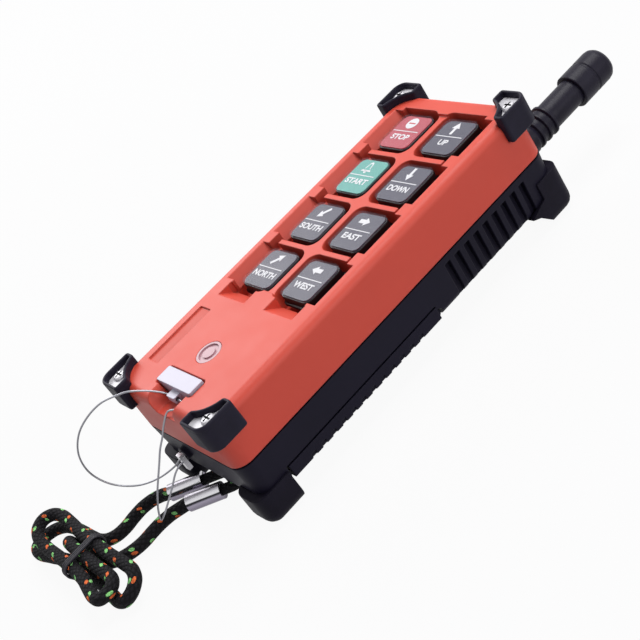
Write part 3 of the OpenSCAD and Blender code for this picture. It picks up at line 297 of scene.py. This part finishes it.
# Materials
class Nodes:
    """A short hand for the node tree of a material or world."""

    def __init__(self, owner):
        self.owner = owner
        owner.use_nodes = True
        self.tree = owner.node_tree

    def add(self, kind):
        return self.tree.nodes.new("ShaderNode" + kind)

    def link(self, a, b):
        self.tree.links.new(a, b)

    def put(self, value, socket):
        """Links a node's output to a socket, or sets the socket to a number or a colour."""
        if isinstance(value, (int, float)):
            socket.default_value = value
        elif isinstance(value, tuple):
            socket.default_value = (*value, 1)
        else:
            self.link(value, socket)

    def coords(self):
        return self.add("TexCoord").outputs["Object"]

    def axes(self, vector=None):
        """The three parts of a vector, by default of the place on the object."""
        sep = self.add("SeparateXYZ")
        self.link(vector or self.coords(), sep.inputs["Vector"])
        return tuple(sep.outputs[k] for k in "XYZ")

    def noise(self, scale, detail, rough=0.5):
        n = self.add("TexNoise")
        n.inputs["Scale"].default_value = scale
        n.inputs["Detail"].default_value = detail
        n.inputs["Roughness"].default_value = rough
        self.link(self.coords(), n.inputs["Vector"])
        return n.outputs["Fac"]

    def ramp(self, fac, stops):
        r = self.add("ValToRGB")
        while len(r.color_ramp.elements) < len(stops):
            r.color_ramp.elements.new(0.5)
        for e, (at, colour) in zip(r.color_ramp.elements, stops):
            e.position = at
            e.color = (*colour, 1)
        self.link(fac, r.inputs["Fac"])
        return r.outputs["Color"]

    def math(self, op, a, b=None, c=None):
        m = self.add("Math")
        m.operation = op
        for i, v in enumerate((a, b, c)):
            if v is not None:
                self.put(v, m.inputs[i])
        return m.outputs[0]

    def mix(self, fac, a, b):
        m = self.add("Mix")
        m.data_type = "RGBA"
        for i, v in ((0, fac), (6, a), (7, b)):
            self.put(v, m.inputs[i])
        return m.outputs[2]

    def soft_edges(self, radius):
        b = self.add("Bevel")
        b.samples = 6
        b.inputs["Radius"].default_value = radius
        return b.outputs["Normal"]

    def within(self, value, middle, half):
        """One where a value lies within a half width of the middle."""
        return self.math("COMPARE", value, middle, half)

    def inside(self, values, middles, halves):
        """One where every value lies within its half width of its middle."""
        masks = [self.within(*place) for place in zip(values, middles, halves)]
        out = masks[0]
        for mask in masks[1:]:
            out = self.math("MULTIPLY", out, mask)
        return out

    def bump(self, height, strength, distance, normal=None):
        b = self.add("Bump")
        b.inputs["Strength"].default_value = strength
        b.inputs["Distance"].default_value = distance
        self.link(height, b.inputs["Height"])
        if normal is not None:
            self.link(normal, b.inputs["Normal"])
        return b.outputs["Normal"]

    def out(self, **sockets):
        """Sets or links the shader's sockets, and gives the material."""
        bsdf = self.tree.nodes["Principled BSDF"]
        for key, v in sockets.items():
            self.put(v, bsdf.inputs[key.replace("_", " ")])
        return self.owner


def surface(name):
    """The nodes of a new material."""
    return Nodes(bpy.data.materials.new(name))


def varied(n, colour, vary):
    """A colour with faint flow marks."""
    dark, light = (tuple(min(1, c * (1 + share)) for c in colour) for share in (-vary, vary))
    return n.ramp(n.noise(26, 4, 0.6), [(0.3, dark), (0.7, light)])


def uneven(n, rough):
    """A roughness that wanders a little round its value."""
    return n.math("MULTIPLY_ADD", n.noise(90, 3, 0.6), 0.14, rough - 0.07)


GRAIN_DEPTH, POLISH_DEPTH = 0.00012, 0.00003


def plastic(name, colour, rough, grain, grain_scale, vary, specular=0.5, edge=0.0):
    """Moulded plastic: fine spark-eroded grain, faint flow marks in the colour, uneven gloss."""
    n = surface(name)
    base = varied(n, colour, vary)
    gloss = uneven(n, rough)
    soft = n.soft_edges(edge) if edge else None
    normal = n.bump(n.noise(grain_scale, 2, 0.6), grain, GRAIN_DEPTH, soft)
    return n.out(Base_Color=base, Roughness=gloss, Normal=normal, Specular_IOR_Level=specular)


# The slopes beside the keys, where painted shade darkens the shell, and the label's recess: middle and half
# size along each axis
SHADED_SLOPE_AT, SHADED_SLOPE_HALF = (0.0211, 0.0, 0.0380), (0.0028, 0.0430, 0.0021)
LABEL_AT, LABEL_HALF = (-0.0200, -0.0645, 0.0397), (0.0031, 0.0116, 0.0003)
# Inner edge of the painted shadow along the recess's rim
LABEL_SHADOW_RIM_INNER_HALF = (0.00285, 0.01125)


def case_plastic():
    """The orange shell: one moulding, darkened on the key slopes as painted shade and a little darker in the
    label's recess, with a painted shadow along the recess's rim; duller in gloss on both.
    """
    n = surface("orange_plastic")
    base = varied(n, (0.62, 0.064, 0.037), 0.03)
    x, y, z = n.axes()
    slope_shade = n.inside((n.math("ABSOLUTE", x), y, z), SHADED_SLOPE_AT, SHADED_SLOPE_HALF)
    label = n.inside((x, y, z), LABEL_AT, LABEL_HALF)
    inner = n.inside((x, y), LABEL_AT, LABEL_SHADOW_RIM_INNER_HALF)
    # Painted shadow along the recess's rim, over a recess floor a little darker in colour
    rim_shadow = n.math("MULTIPLY", label, n.math("SUBTRACT", 1.0, inner))
    label = n.math("ADD", n.math("MULTIPLY", label, 0.10), n.math("MULTIPLY", rim_shadow, 0.06))
    # Painted shade on the key slopes: their colour darkened by a fifth, and their gloss duller
    shade_and_dull = n.math("ADD", n.math("MULTIPLY", slope_shade, 0.20), label)
    base = n.mix(shade_and_dull, base, (0.0, 0.0, 0.0))
    gloss = n.math("ADD", uneven(n, 0.5), n.math("MULTIPLY", shade_and_dull, 0.5))
    normal = n.bump(n.noise(2600, 2, 0.6), 0.1, GRAIN_DEPTH, n.soft_edges(0.0006))
    return n.out(Base_Color=base, Roughness=gloss, Normal=normal, Specular_IOR_Level=0.4)


# The guards' screws: their places either side of the case's middle, and their cross slots, painted dark as
# shade
SCREW_X, SCREW_Y, CASE_MID_Y = 0.0263, 0.06555, -0.01975
CROSS_HALF_W, CROSS_HALF_L = 0.00034, 0.0015


def screw_metal():
    """Plated screw heads with painted shade in their cross slots."""
    n = surface("screw_steel")
    x, y, _ = n.axes()
    dx = n.math("SUBTRACT", n.math("ABSOLUTE", x), SCREW_X)
    dy = n.math("SUBTRACT", n.math("ABSOLUTE", n.math("SUBTRACT", y, CASE_MID_Y)), SCREW_Y)
    halves = (CROSS_HALF_W, CROSS_HALF_L)
    # Painted shade: the cross slots near black and less metallic
    slot_shade = n.math("MAXIMUM", n.inside((dx, dy), (0, 0), halves), n.inside((dy, dx), (0, 0), halves))
    marks = n.noise(900, 4, 0.6)
    plated = n.ramp(marks, [(0.3, (0.66, 0.65, 0.68)), (0.7, (0.74, 0.73, 0.76))])
    return n.out(Base_Color=n.mix(slot_shade, plated, (0.006, 0.006, 0.007)), Roughness=0.35,
                 Metallic=n.math("MULTIPLY_ADD", slot_shade, -0.25, 0.25), Normal=n.bump(marks, 0.02, POLISH_DEPTH))


def rubber(name, colour, rough, specular, edge=0.0):
    """Moulded rubber: a little dust in the colour and a soft, uneven grain."""
    n = surface(name)
    grey = tuple(c * 1.5 + 0.002 for c in colour)
    dust = n.noise(120, 5, 0.65)
    base = n.ramp(dust, [(0.35, colour), (0.8, grey)])
    gloss = n.math("MULTIPLY_ADD", dust, 0.2, rough - 0.1)
    soft = n.soft_edges(edge) if edge else None
    normal = n.bump(n.noise(1700, 3, 0.7), 0.2, GRAIN_DEPTH, soft)
    return n.out(Base_Color=base, Roughness=gloss, Normal=normal, Specular_IOR_Level=specular)


def metal(name, colour, rough, grain=0.03, metallic=1.0):
    """Plated steel: faint spots in the colour and fine polishing marks in the gloss."""
    n = surface(name)
    base = n.ramp(n.noise(150, 4, 0.6), [(0.25, tuple(x * 0.9 for x in colour)), (0.65, colour)])
    marks = n.noise(900, 4, 0.6)
    gloss = n.math("MULTIPLY_ADD", marks, 0.12, rough - 0.06)
    normal = n.bump(marks, grain, POLISH_DEPTH)
    return n.out(Base_Color=base, Roughness=gloss, Metallic=metallic, Normal=normal)


def clear(name, tint, alpha, rough):
    """Clear moulded resin, seen as a thin veil with faint ripples and its own gloss."""
    n = surface(name)
    ripple = n.noise(240, 3, 0.5)
    base = n.ramp(ripple, [(0.3, tuple(c * 0.95 for c in tint)), (0.7, tint)])
    normal = n.bump(ripple, 0.03, 0.0002)
    return n.out(Base_Color=base, Roughness=rough, IOR=1.46, Alpha=alpha, Normal=normal)


# The ferrules' top, and the colours of their painted reflection bands by height
FERRULE_TOP = 0.006
FERRULE_REFLECTION_BANDS = [
    (0.0, (0.05, 0.045, 0.06)), (0.3, (0.16, 0.14, 0.19)), (0.62, (0.36, 0.33, 0.41)),
    (0.70, (0.025, 0.025, 0.03)), (0.75, (0.025, 0.025, 0.03)), (0.79, (0.80, 0.79, 0.82)),
    (0.90, (0.62, 0.61, 0.65)), (0.96, (0.16, 0.15, 0.17))]


def ferrule_material():
    """Bright nickel with painted dark and light reflection bands, as a round sleeve shows them along its
    length.
    """
    n = surface("ferrule_nickel")
    streak = n.noise(500, 3, 0.6)
    height = n.math("MULTIPLY", n.axes()[2], 1 / FERRULE_TOP)
    base = n.ramp(n.math("ADD", height, n.math("MULTIPLY", streak, 0.012)), FERRULE_REFLECTION_BANDS)
    normal = n.bump(streak, 0.05, POLISH_DEPTH)
    return n.out(Base_Color=base, Roughness=0.2, Metallic=0.85, Normal=normal)


# The rope's way round, its braid and its flecks, in millimetres, strands and parts of a turn
ROPE_ROUND = 13.2
BRAID_PITCH, BRAID_STRANDS = 2.2, 8.0
FLECK_PITCH, FLECK_TURN, FLECK_HALF_L, FLECK_HALF_W = 5.8, 0.19, 0.95, 0.55
FLECK_START = 100.25  # a quarter turn, and enough whole turns to keep the modulo's value above zero


def rope_material():
    """Black braided rope, darker in the braid's grooves as painted shade, with paired green and orange
    flecks, laid on the tube's own UV map.
    """
    n = surface("braided_rope")
    uv = n.add("UVMap")
    uv.uv_map = "along"
    length, round_it, _ = n.axes(uv.outputs["UV"])
    along = n.math("MULTIPLY", length, 1 / (BRAID_PITCH * MM))
    turn = n.math("MULTIPLY", round_it, BRAID_STRANDS)
    ways = [n.math(op, along, turn) for op in ("ADD", "SUBTRACT")]
    waves = [n.math("SINE", n.math("MULTIPLY", way, math.pi)) for way in ways]
    braid = n.math("ABSOLUTE", n.math("MULTIPLY", *waves))
    step = n.math("MULTIPLY", length, 1 / (FLECK_PITCH * MM))
    cell = n.math("FLOOR", step)
    u = n.math("MULTIPLY", n.math("SUBTRACT", n.math("SUBTRACT", step, cell), 0.5), FLECK_PITCH)
    turned = n.math("SUBTRACT", round_it, n.math("MULTIPLY", cell, FLECK_TURN))
    turned = n.math("FLOORED_MODULO", n.math("ADD", turned, FLECK_START), 0.5)
    v = n.math("MULTIPLY", n.math("SUBTRACT", turned, 0.25), ROPE_ROUND)
    long = n.math("ADD", n.math("MULTIPLY", u, 0.87), n.math("MULTIPLY", v, 0.5))
    wide = n.math("SUBTRACT", n.math("MULTIPLY", v, 0.87), n.math("MULTIPLY", u, 0.5))

    def oval(at_long, at_wide):
        """One inside an oval fleck."""
        a = n.math("MULTIPLY", n.math("SUBTRACT", long, at_long), 1 / FLECK_HALF_L)
        b = n.math("MULTIPLY", n.math("SUBTRACT", wide, at_wide), 1 / FLECK_HALF_W)
        reach = n.math("ADD", n.math("MULTIPLY", a, a), n.math("MULTIPLY", b, b))
        return n.math("LESS_THAN", reach, 1.0)

    green, orange = oval(-0.45, -0.62), oval(0.45, 0.62)
    fibre = n.noise(3000, 3, 0.7)
    # Painted shade: the black is darker in the braid's grooves
    dark = n.ramp(n.math("MULTIPLY", braid, n.math("MULTIPLY_ADD", fibre, 0.8, 0.5)),
                  [(0.0, (0.002, 0.002, 0.0025)), (0.8, (0.012, 0.011, 0.014))])
    tint_g = n.ramp(fibre, [(0.3, (0.16, 0.50, 0.12)), (0.7, (0.38, 0.86, 0.32))])
    tint_o = n.ramp(fibre, [(0.3, (0.64, 0.10, 0.02)), (0.7, (0.95, 0.24, 0.08))])
    base = n.mix(green, dark, tint_g)
    base = n.mix(orange, base, tint_o)
    height = n.math("ADD", braid, n.math("MULTIPLY", fibre, 0.35))
    normal = n.bump(height, 0.8, 0.0004)
    return n.out(Base_Color=base, Roughness=0.8, Specular_IOR_Level=0.15, Normal=normal)


MATS = {
    "orange": case_plastic(),
    "black": plastic("black_plastic", (0.0085, 0.0072, 0.0165), 0.5, 0.15, 2200, 0.15, 0.10, 0.0005),
    "rubber": rubber("black_rubber", (0.0100, 0.0085, 0.0180), 0.5, 0.13, 0.0005),
    "seal": rubber("seal_rubber", (0.003, 0.003, 0.0035), 0.7, 0.1),
    "antenna": rubber("antenna_rubber", (0.0075, 0.0062, 0.0140), 0.42, 0.15, 0.0004),
    "tie": rubber("elastic_tie", (0.010, 0.009, 0.014), 0.5, 0.3),
    "foot": rubber("foot_rubber", (0.0070, 0.0058, 0.0120), 0.55, 0.08, 0.0006),
    "steel": metal("bright_plate", (0.66, 0.65, 0.68), 0.45, 0.02, 0.2),
    "screw": screw_metal(),
    "chrome": metal("clip_nickel", (0.40, 0.39, 0.42), 0.25),
    "wire": metal("wire_steel", (0.29, 0.29, 0.32), 0.35),
    "brass": metal("antenna_brass", (0.75, 0.58, 0.28), 0.3),
    "white": plastic("white_key_plastic", (0.52, 0.50, 0.60), 0.4, 0.04, 2600, 0.02, 0.4, 0.0004),
    "board": plastic("board_laminate", (0.03, 0.16, 0.08), 0.35, 0.1, 900, 0.1),
    "cell": plastic("cell_skin", (0.05, 0.05, 0.06), 0.3, 0.05, 900, 0.3),
    "led": plastic("led_body", (0.85, 0.60, 0.66), 0.3, 0.02, 900, 0.02),
    "key_black": plastic("key_body", (0.008, 0.0065, 0.0085), 0.4, 0.06, 2200, 0.1, 0.2, 0.0004),
    "print": plastic("white_print", (0.78, 0.78, 0.80), 0.6, 0.03, 3000, 0.03),
    "clear": clear("clear_cap", (0.30, 0.30, 0.38), 0.07, 0.35),
    "lens": clear("signal_lens", (0.60, 0.36, 0.40), 0.85, 0.4),
    "ferrule": ferrule_material(),
    "rope": rope_material(),
}
CARD_GREY = (0.055, 0.053, 0.078)
CARD = {"stop": (0.50, 0.062, 0.085), "start": (0.115, 0.42, 0.36)}
CARD_MATS = {k: plastic(k + "_card_print", CARD.get(k, CARD_GREY), 0.5, 0.03, 2000, 0.03) for k in KEYS}

rope.data.materials.append(MATS["rope"])
loop.data.materials.append(MATS["rope"])
wire.data.materials.append(MATS["wire"])
for tie in ties:
    tie.data.materials.append(MATS["tie"])


# Copies of CAD nodes that take their nodes' places
FLAT_ANGLE, SHADE_ANGLE, GUARD_SHADE_ANGLE = math.radians(1), math.radians(32), math.radians(50)


def remade(node, name, mat, body, weld, work):
    """A copy of a CAD node in one smooth material, with its points joined and work done on its mesh."""
    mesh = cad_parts[node].data.copy()
    mesh.name = name
    mesh.materials.clear()
    mesh.materials.append(mat)
    bm = bmesh.new()
    bm.from_mesh(mesh)
    bmesh.ops.remove_doubles(bm, verts=bm.verts, dist=weld)
    work(bm)
    for f in bm.faces:
        f.smooth = True
        f.material_index = 0
    bm.to_mesh(mesh)
    bm.free()
    for layer in list(mesh.attributes):
        if layer.name in ("sharp_face", "custom_normal"):
            mesh.attributes.remove(layer)
    obj = bpy.data.objects.new(name, mesh)
    bpy.context.collection.objects.link(obj)
    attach(obj, body)
    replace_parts(obj, node)
    return obj


def rounded(node, name, mat, width, segments, angle, body="handset"):
    """A copy of a CAD node with its triangles joined to flats and its edges rounded."""
    def flats(bm):
        bmesh.ops.dissolve_limit(bm, angle_limit=FLAT_ANGLE, verts=bm.verts, edges=bm.edges)

    obj = remade(node, name, mat, body, WELD, flats)
    bevel = obj.modifiers.new("rounding", "BEVEL")
    bevel.width = width
    bevel.segments = segments
    bevel.limit_method = "ANGLE"
    bevel.angle_limit = math.radians(angle)
    bevel.harden_normals = True
    bevel.use_clamp_overlap = True
    bevel.miter_outer = "MITER_ARC"
    return obj


def keep_flats(obj, weight=50):
    """Normals weighted by face size, so that flats stay flat beside smooth edges."""
    flat = obj.modifiers.new("flat_faces", "WEIGHTED_NORMAL")
    flat.keep_sharp = True
    flat.weight = weight


def smoothed(node, name, mat):
    """A copy of a shell whose shallow edges shade smooth and whose flats stay flat."""
    def shading(bm):
        for e in bm.edges:
            e.smooth = e.is_manifold and e.calc_face_angle(0) < SHADE_ANGLE

    keep_flats(remade(node, name, mat, "handset", WELD / 2, shading), 100)


# Corner guards: rings of the guard's plan, drawn in and lifted round its rim and its foot
GUARD_X, GUARD_LOW_Y, GUARD_TOP_Y = 30.7, -90.7, 51.2
G_ARM_X, G_ARM_Y, G_ARM_W, G_SIDE_W, G_BITE, G_R = 11.4, 12.6, 5.0, 3.9, 10.3, 4.0
# Inset and height of each ring, up the outside, over the rim and down into the top
G_RINGS = [
    (0.7, 33.5), (0.35, 33.56), (0.1, 33.8), (0, 34.2), (0, 41.28), (0.1, 41.36), (0, 41.44), (0, 42.45),
    (0.08, 42.74), (0.24, 42.92), (0.45, 43.0), (0.6, 43.0), (0.78, 42.94), (0.92, 42.78), (1.0, 42.5),
    (1.0, 40.3)]


def guard_ring(inset, z):
    """The guard's plan as a ring of points: a round corner, two arms and a bite between their ends."""
    # The bite is an arc about q, from the end of the arm along X to the end of the arm along Y
    b, c = np.array((G_ARM_X, G_ARM_W)), np.array((G_SIDE_W, G_ARM_Y))
    half = np.linalg.norm(b - c) / 2
    side = np.array((c[1] - b[1], b[0] - c[0])) / (2 * half)
    q = (b + c) / 2 + side * math.sqrt(G_BITE ** 2 - half ** 2)
    big, ax, ay = G_BITE + inset, G_ARM_X - inset, G_ARM_Y - inset
    start, stop = math.asin((q[0] - ax) / big), math.acos((q[1] - ay) / big)
    cut = max(0.3, 1.1 - inset)  # how far the corners at the arms' ends are rounded off
    arc = [(q[0] - big * math.sin(t), q[1] - big * math.cos(t)) for t in
           np.linspace(start + cut / big, stop - cut / big, 13)]
    p2 = (q[0] - big * math.sin(start), q[1] - big * math.cos(start))
    p3 = (q[0] - big * math.sin(stop), q[1] - big * math.cos(stop))

    def turn(before, corner, after):
        """A rounded corner between the points before and after it."""
        corner, out = np.array(corner), []
        d0 = np.array(before) - corner
        d1 = np.array(after) - corner
        p0 = corner + d0 / np.linalg.norm(d0) * min(cut, 0.45 * np.linalg.norm(d0))
        p1 = corner + d1 / np.linalg.norm(d1) * min(cut, np.linalg.norm(d1))
        for t in np.linspace(0, 1, 5):
            out.append((1 - t) ** 2 * p0 + 2 * t * (1 - t) * corner + t ** 2 * p1)
        return out

    r = G_R - inset
    outer = [(G_R - r * math.cos(t), G_R - r * math.sin(t)) for t in np.linspace(0, math.pi / 2, 9)]
    p1, p4 = (ax, inset), (inset, ay)
    pts = outer + turn(outer[-1], p1, p2)
    pts += turn(p1, p2, arc[0])[:-1] + arc
    back = turn(p4, p3, arc[-1])[:-1]
    pts += back[::-1] + turn(outer[0], p4, p3)[::-1]
    return [(x, y, z) for x, y in pts]


def corner_guard(name, sx, sy):
    """The guard of one corner, on the side of X and Y that sx and sy give."""
    rings = [guard_ring(inset, z) for inset, z in G_RINGS]
    n = len(rings[0])
    corner_y = GUARD_LOW_Y if sy < 0 else GUARD_TOP_Y
    verts = [(sx * (GUARD_X - x) * MM, (corner_y - sy * y) * MM, z * MM) for r in rings for x, y, z in r]
    faces = [(i * n + k, i * n + (k + 1) % n, (i + 1) * n + (k + 1) % n, (i + 1) * n + k)
             for i in range(len(rings) - 1) for k in range(n)]
    faces += [tuple(range(n))[::-1], tuple(range((len(rings) - 1) * n, len(rings) * n))]
    if sx * sy < 0:
        faces = [f[::-1] for f in faces]
    obj = new_object(name, verts, faces)
    obj.data.materials.append(MATS["rubber"])
    obj.data.set_sharp_from_angle(angle=GUARD_SHADE_ANGLE)
    keep_flats(obj)
    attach(obj, "handset")
    return obj


smoothed("front_shell", "orange_case", MATS["orange"])
smoothed("rear_shell", "black_case", MATS["black"])
for sx, sy in ((-1, -1), (1, -1), (-1, 1), (1, 1)):
    where = ("lower" if sy < 0 else "upper") + ("_left" if sx < 0 else "_right")
    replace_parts(corner_guard("corner_guard_" + where, sx, sy), "guard_" + where)
    rounded("foot_" + where, "corner_foot_" + where, MATS["foot"], 0.0006, segments=3, angle=40)
rounded("battery_cover", "battery_lid", MATS["black"], 0.0004, segments=2, angle=30, body="battery_cover")
rounded("safety_key", "safety_key_white", MATS["white"], 0.0004, segments=3, angle=40, body="safety_key")
CAP_LIFT = 0.00001  # keeps the clear caps off their cards, so that no ray slips between the two
for k in KEYS:
    rounded(k + "_key_base", k + "_key_body", MATS["key_black"], 0.0004,
            segments=2, angle=40, body=k + "_key")
    cap = rounded(k + "_key_cap", k + "_key_clear_cap", MATS["clear"], 0.0007,
                  segments=4, angle=40, body=k + "_key")
    cap.data.transform(Matrix.Translation((0, 0, CAP_LIFT)))

# CAD nodes that keep their own meshes, and their materials
PLAIN = {
    "shell_gasket": "seal", "corner_plates": "steel", "corner_screws": "screw", "circuit_board": "board",
    "key_switches": "key_black", "status_led": "led", "led_lens": "lens", "key_sensor": "key_black",
    "radio_module": "steel", "antenna_core": "brass", "antenna_sleeve": "antenna", "antenna_cap": "antenna",
    "case_screws": "screw", "battery_cells": "cell", "battery_contacts": "steel", "cover_screw": "screw",
    "safety_magnet": "screw", "tether_clip": "chrome", "rope_ferrules": "ferrule"}
dressed = {node: MATS[mat] for node, mat in PLAIN.items()}
dressed.update({k + "_key_card": CARD_MATS[k] for k in KEYS})
for node, mat in dressed.items():
    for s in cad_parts[node].material_slots:
        s.link = "DATA"
        s.material = mat


# Printed signs on the cards: a word, a line and a symbol, in millimetres from the key's middle
KEY_X, KEY_PITCH = 10.6, 21.4
PRINT_X, PRINT_Z, PRINT_T = -0.5, 39.12, 0.04
TINT_LIFT = 0.6  # of a print's thickness, by which the coloured parts stand over the white ones


def slab(polys, levels):
    """Flat outlines as thin plates, each lifted by its number of thicknesses."""
    verts, faces = [], []
    for poly, level in zip(polys, levels):
        low = PRINT_Z + PRINT_T * level
        n, base = len(poly), len(verts)
        verts += [(x, y, low) for x, y in poly] + [(x, y, low + PRINT_T) for x, y in poly]
        faces.append([base + j for j in range(n)][::-1])
        faces.append([base + n + j for j in range(n)])
        around = [(base + j, base + (j + 1) % n) for j in range(n)]
        faces += [[a, b, b + n, a + n] for a, b in around]
    return verts, faces


def word_mesh(word, width, height, at):
    """A word set in Blender's own typeface, fitted to a width and a cap height."""
    curve = bpy.data.curves.new(word, "FONT")
    curve.body = word
    curve.extrude = 0.01
    curve.offset = 0.032
    holder = bpy.data.objects.new(word, curve)
    mesh = bpy.data.meshes.new_from_object(holder)
    co = np.array([v.co[:] for v in mesh.vertices])
    low, high = co.min(axis=0), co.max(axis=0)
    co = (co - (low + high) / 2) / (high - low) * (width, height, PRINT_T)
    co += (*at, PRINT_Z + PRINT_T / 2)
    faces = [list(p.vertices) for p in mesh.polygons]
    bpy.data.objects.remove(holder)
    bpy.data.curves.remove(curve)
    bpy.data.meshes.remove(mesh)
    return [tuple(c) for c in co], faces


def disc(r, at, n=32):
    turns = [2 * math.pi * i / n for i in range(n)]
    return [(at[0] + r * math.cos(t), at[1] + r * math.sin(t)) for t in turns]


def bar(w, h, at):
    return [(at[0] + sx * w / 2, at[1] + sy * h / 2) for sx, sy in ((-1, -1), (1, -1), (1, 1), (-1, 1))]


def arrow(length, head_l, head_w, shaft_w, angle, at):
    """An arrow as one outline, pointing along its angle."""
    half = length / 2
    pts = [(-half, -shaft_w / 2), (half - head_l, -shaft_w / 2), (half - head_l, -head_w / 2), (half, 0),
           (half - head_l, head_w / 2), (half - head_l, shaft_w / 2), (-half, shaft_w / 2)]
    c, s = math.cos(math.radians(angle)), math.sin(math.radians(angle))
    return [(at[0] + c * x - s * y, at[1] + s * x + c * y) for x, y in pts]


def bell(scale, at):
    """A bell's outline: a dome on a flared skirt."""
    half = [(0.95, 1.2), (1.15, 0.2), (1.45, -0.9), (2.3, -1.5), (2.3, -1.9)]
    dome = [(0.95 * math.cos(a), 1.2 + 1.1 * math.sin(a)) for a in np.radians(range(15, 180, 15))]
    pts = half[::-1] + dome + [(-x, y) for x, y in half]
    return [(at[0] + scale * x, at[1] + scale * y) for x, y in pts]


SIGN_X, SIGN_Y = -0.3, 4.1
WORD_H, WORD_AT = 2.45, (0, -2.35)
RULE_W, RULE_H, RULE_AT = 12.2, 0.32, (0, 0.35)
# Width of each word, then each arrow's length, head's length and width, shaft's width and angle
WORDS = {
    "stop": 8.4, "start": 10.6, "south": 11.0, "north": 11.2,
    "up": 4.0, "down": 9.6, "east": 8.4, "west": 9.4}
ARROWS = {
    "up": (5.4, 2.6, 3.5, 1.15, 90), "down": (5.4, 2.4, 3.2, 1.15, -90),
    "east": (4.9, 2.3, 3.4, 1.6, 0), "west": (4.9, 2.3, 3.4, 1.6, 180),
    "south": (5.6, 2.3, 3.2, 1.1, -132), "north": (5.6, 2.3, 3.2, 1.1, 48)}
for i, k in enumerate(KEYS):
    centre = (-KEY_X if i < 4 else KEY_X, (1.5 - i % 4) * KEY_PITCH)
    white, tint = [bar(RULE_W, RULE_H, RULE_AT)], []
    if k in ARROWS:
        white.append(arrow(*ARROWS[k], (SIGN_X, SIGN_Y)))
    elif k == "stop":
        white.append(disc(2.45, (SIGN_X, SIGN_Y)))
        tint.append(bar(3.1, 0.55, (SIGN_X, SIGN_Y)))
    else:
        white += [bell(1.0, (SIGN_X, SIGN_Y)), disc(0.6, (SIGN_X, SIGN_Y - 2.1), 16)]
        tint.append(bell(0.66, (SIGN_X, SIGN_Y + 0.05)))
    verts, faces = slab(white + tint, [0] * len(white) + [TINT_LIFT] * len(tint))
    tinted, word_from = sum(len(p) + 2 for p in white), len(faces)
    word_verts, word_faces = word_mesh(k.upper(), WORDS[k], WORD_H, WORD_AT)
    faces += [[len(verts) + v for v in f] for f in word_faces]
    verts += word_verts
    verts = [((centre[0] + x + PRINT_X) * MM, (centre[1] + y) * MM, z * MM) for x, y, z in verts]
    sign = new_object(k + "_key_print", verts, faces, smooth=False)
    sign.data.materials.append(MATS["print"])
    sign.data.materials.append(CARD_MATS[k])
    for p, poly in enumerate(sign.data.polygons):
        poly.material_index = 1 if tinted <= p < word_from else 0
    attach(sign, k + "_key")


# Floor, world and lights
FLOOR_HALF, FLOOR_Z = 3, -0.0003


def seen_share(n):
    """One where a camera, glossy or clear ray sees the surface."""
    light = n.add("LightPath")
    seen = n.math("MAXIMUM", light.outputs["Is Camera Ray"], light.outputs["Is Glossy Ray"])
    return n.math("MAXIMUM", seen, light.outputs["Is Transmission Ray"])


def pick_shader(n, share, unseen, seen, output):
    """Sends a mix of two shaders to the output."""
    mix = n.add("MixShader")
    n.link(share, mix.inputs["Fac"])
    n.link(unseen.outputs[0], mix.inputs[1])
    n.link(seen.outputs[0], mix.inputs[2])
    n.link(mix.outputs[0], n.tree.nodes[output].inputs["Surface"])


floor_corners = [(x * FLOOR_HALF, y * FLOOR_HALF, FLOOR_Z) for x, y in ((-1, -1), (1, -1), (1, 1), (-1, 1))]
floor = new_object("floor", floor_corners, [(0, 1, 2, 3)])
n = surface("floor_white")
n.out(Base_Color=n.ramp(n.noise(3, 2), [(0, (0.50, 0.50, 0.52)), (1, (0.54, 0.54, 0.56))]), Roughness=0.9,
      Specular_IOR_Level=0.0)
glow = n.add("Emission")
glow.inputs["Color"].default_value = (1, 1, 1, 1)
share = n.math("MULTIPLY", seen_share(n), 0.94)
pick_shader(n, share, n.tree.nodes["Principled BSDF"], glow, "Material Output")
floor.data.materials.append(n.owner)

world = bpy.data.worlds.new("studio")
bpy.context.scene.world = world
n = Nodes(world)
dim = n.tree.nodes["Background"]
dim.inputs["Color"].default_value = (0.94, 0.91, 1, 1)
dim.inputs["Strength"].default_value = 0.25
bright = n.add("Background")
bright.inputs["Color"].default_value = (1, 1, 1, 1)
pick_shader(n, seen_share(n), dim, bright, "World Output")


def area(name, at, target, size, power):
    """A white area light aimed at a point."""
    data = bpy.data.lights.new(name, "AREA")
    data.shape = "RECTANGLE"
    data.size, data.size_y = size
    data.energy = power
    obj = bpy.data.objects.new(name, data)
    bpy.context.collection.objects.link(obj)
    obj.location = at
    obj.rotation_mode = "QUATERNION"
    obj.rotation_quaternion = (Vector(target) - Vector(at)).to_track_quat("-Z", "Y")


area("key_light", (0.0, 0.40, 0.78), (0, 0, 0.03), (0.5, 0.5), 6.4)
area("side_fill", (0.8, 0.2, 0.30), (0, 0, 0.02), (0.5, 0.4), 2.3)
area("sheen", (-0.70, 0.05, 0.46), (0, -0.06, 0.03), (0.45, 0.4), 3.2)

bpy.context.scene.view_settings.view_transform = "Standard"
bpy.context.scene.view_settings.look = "None"
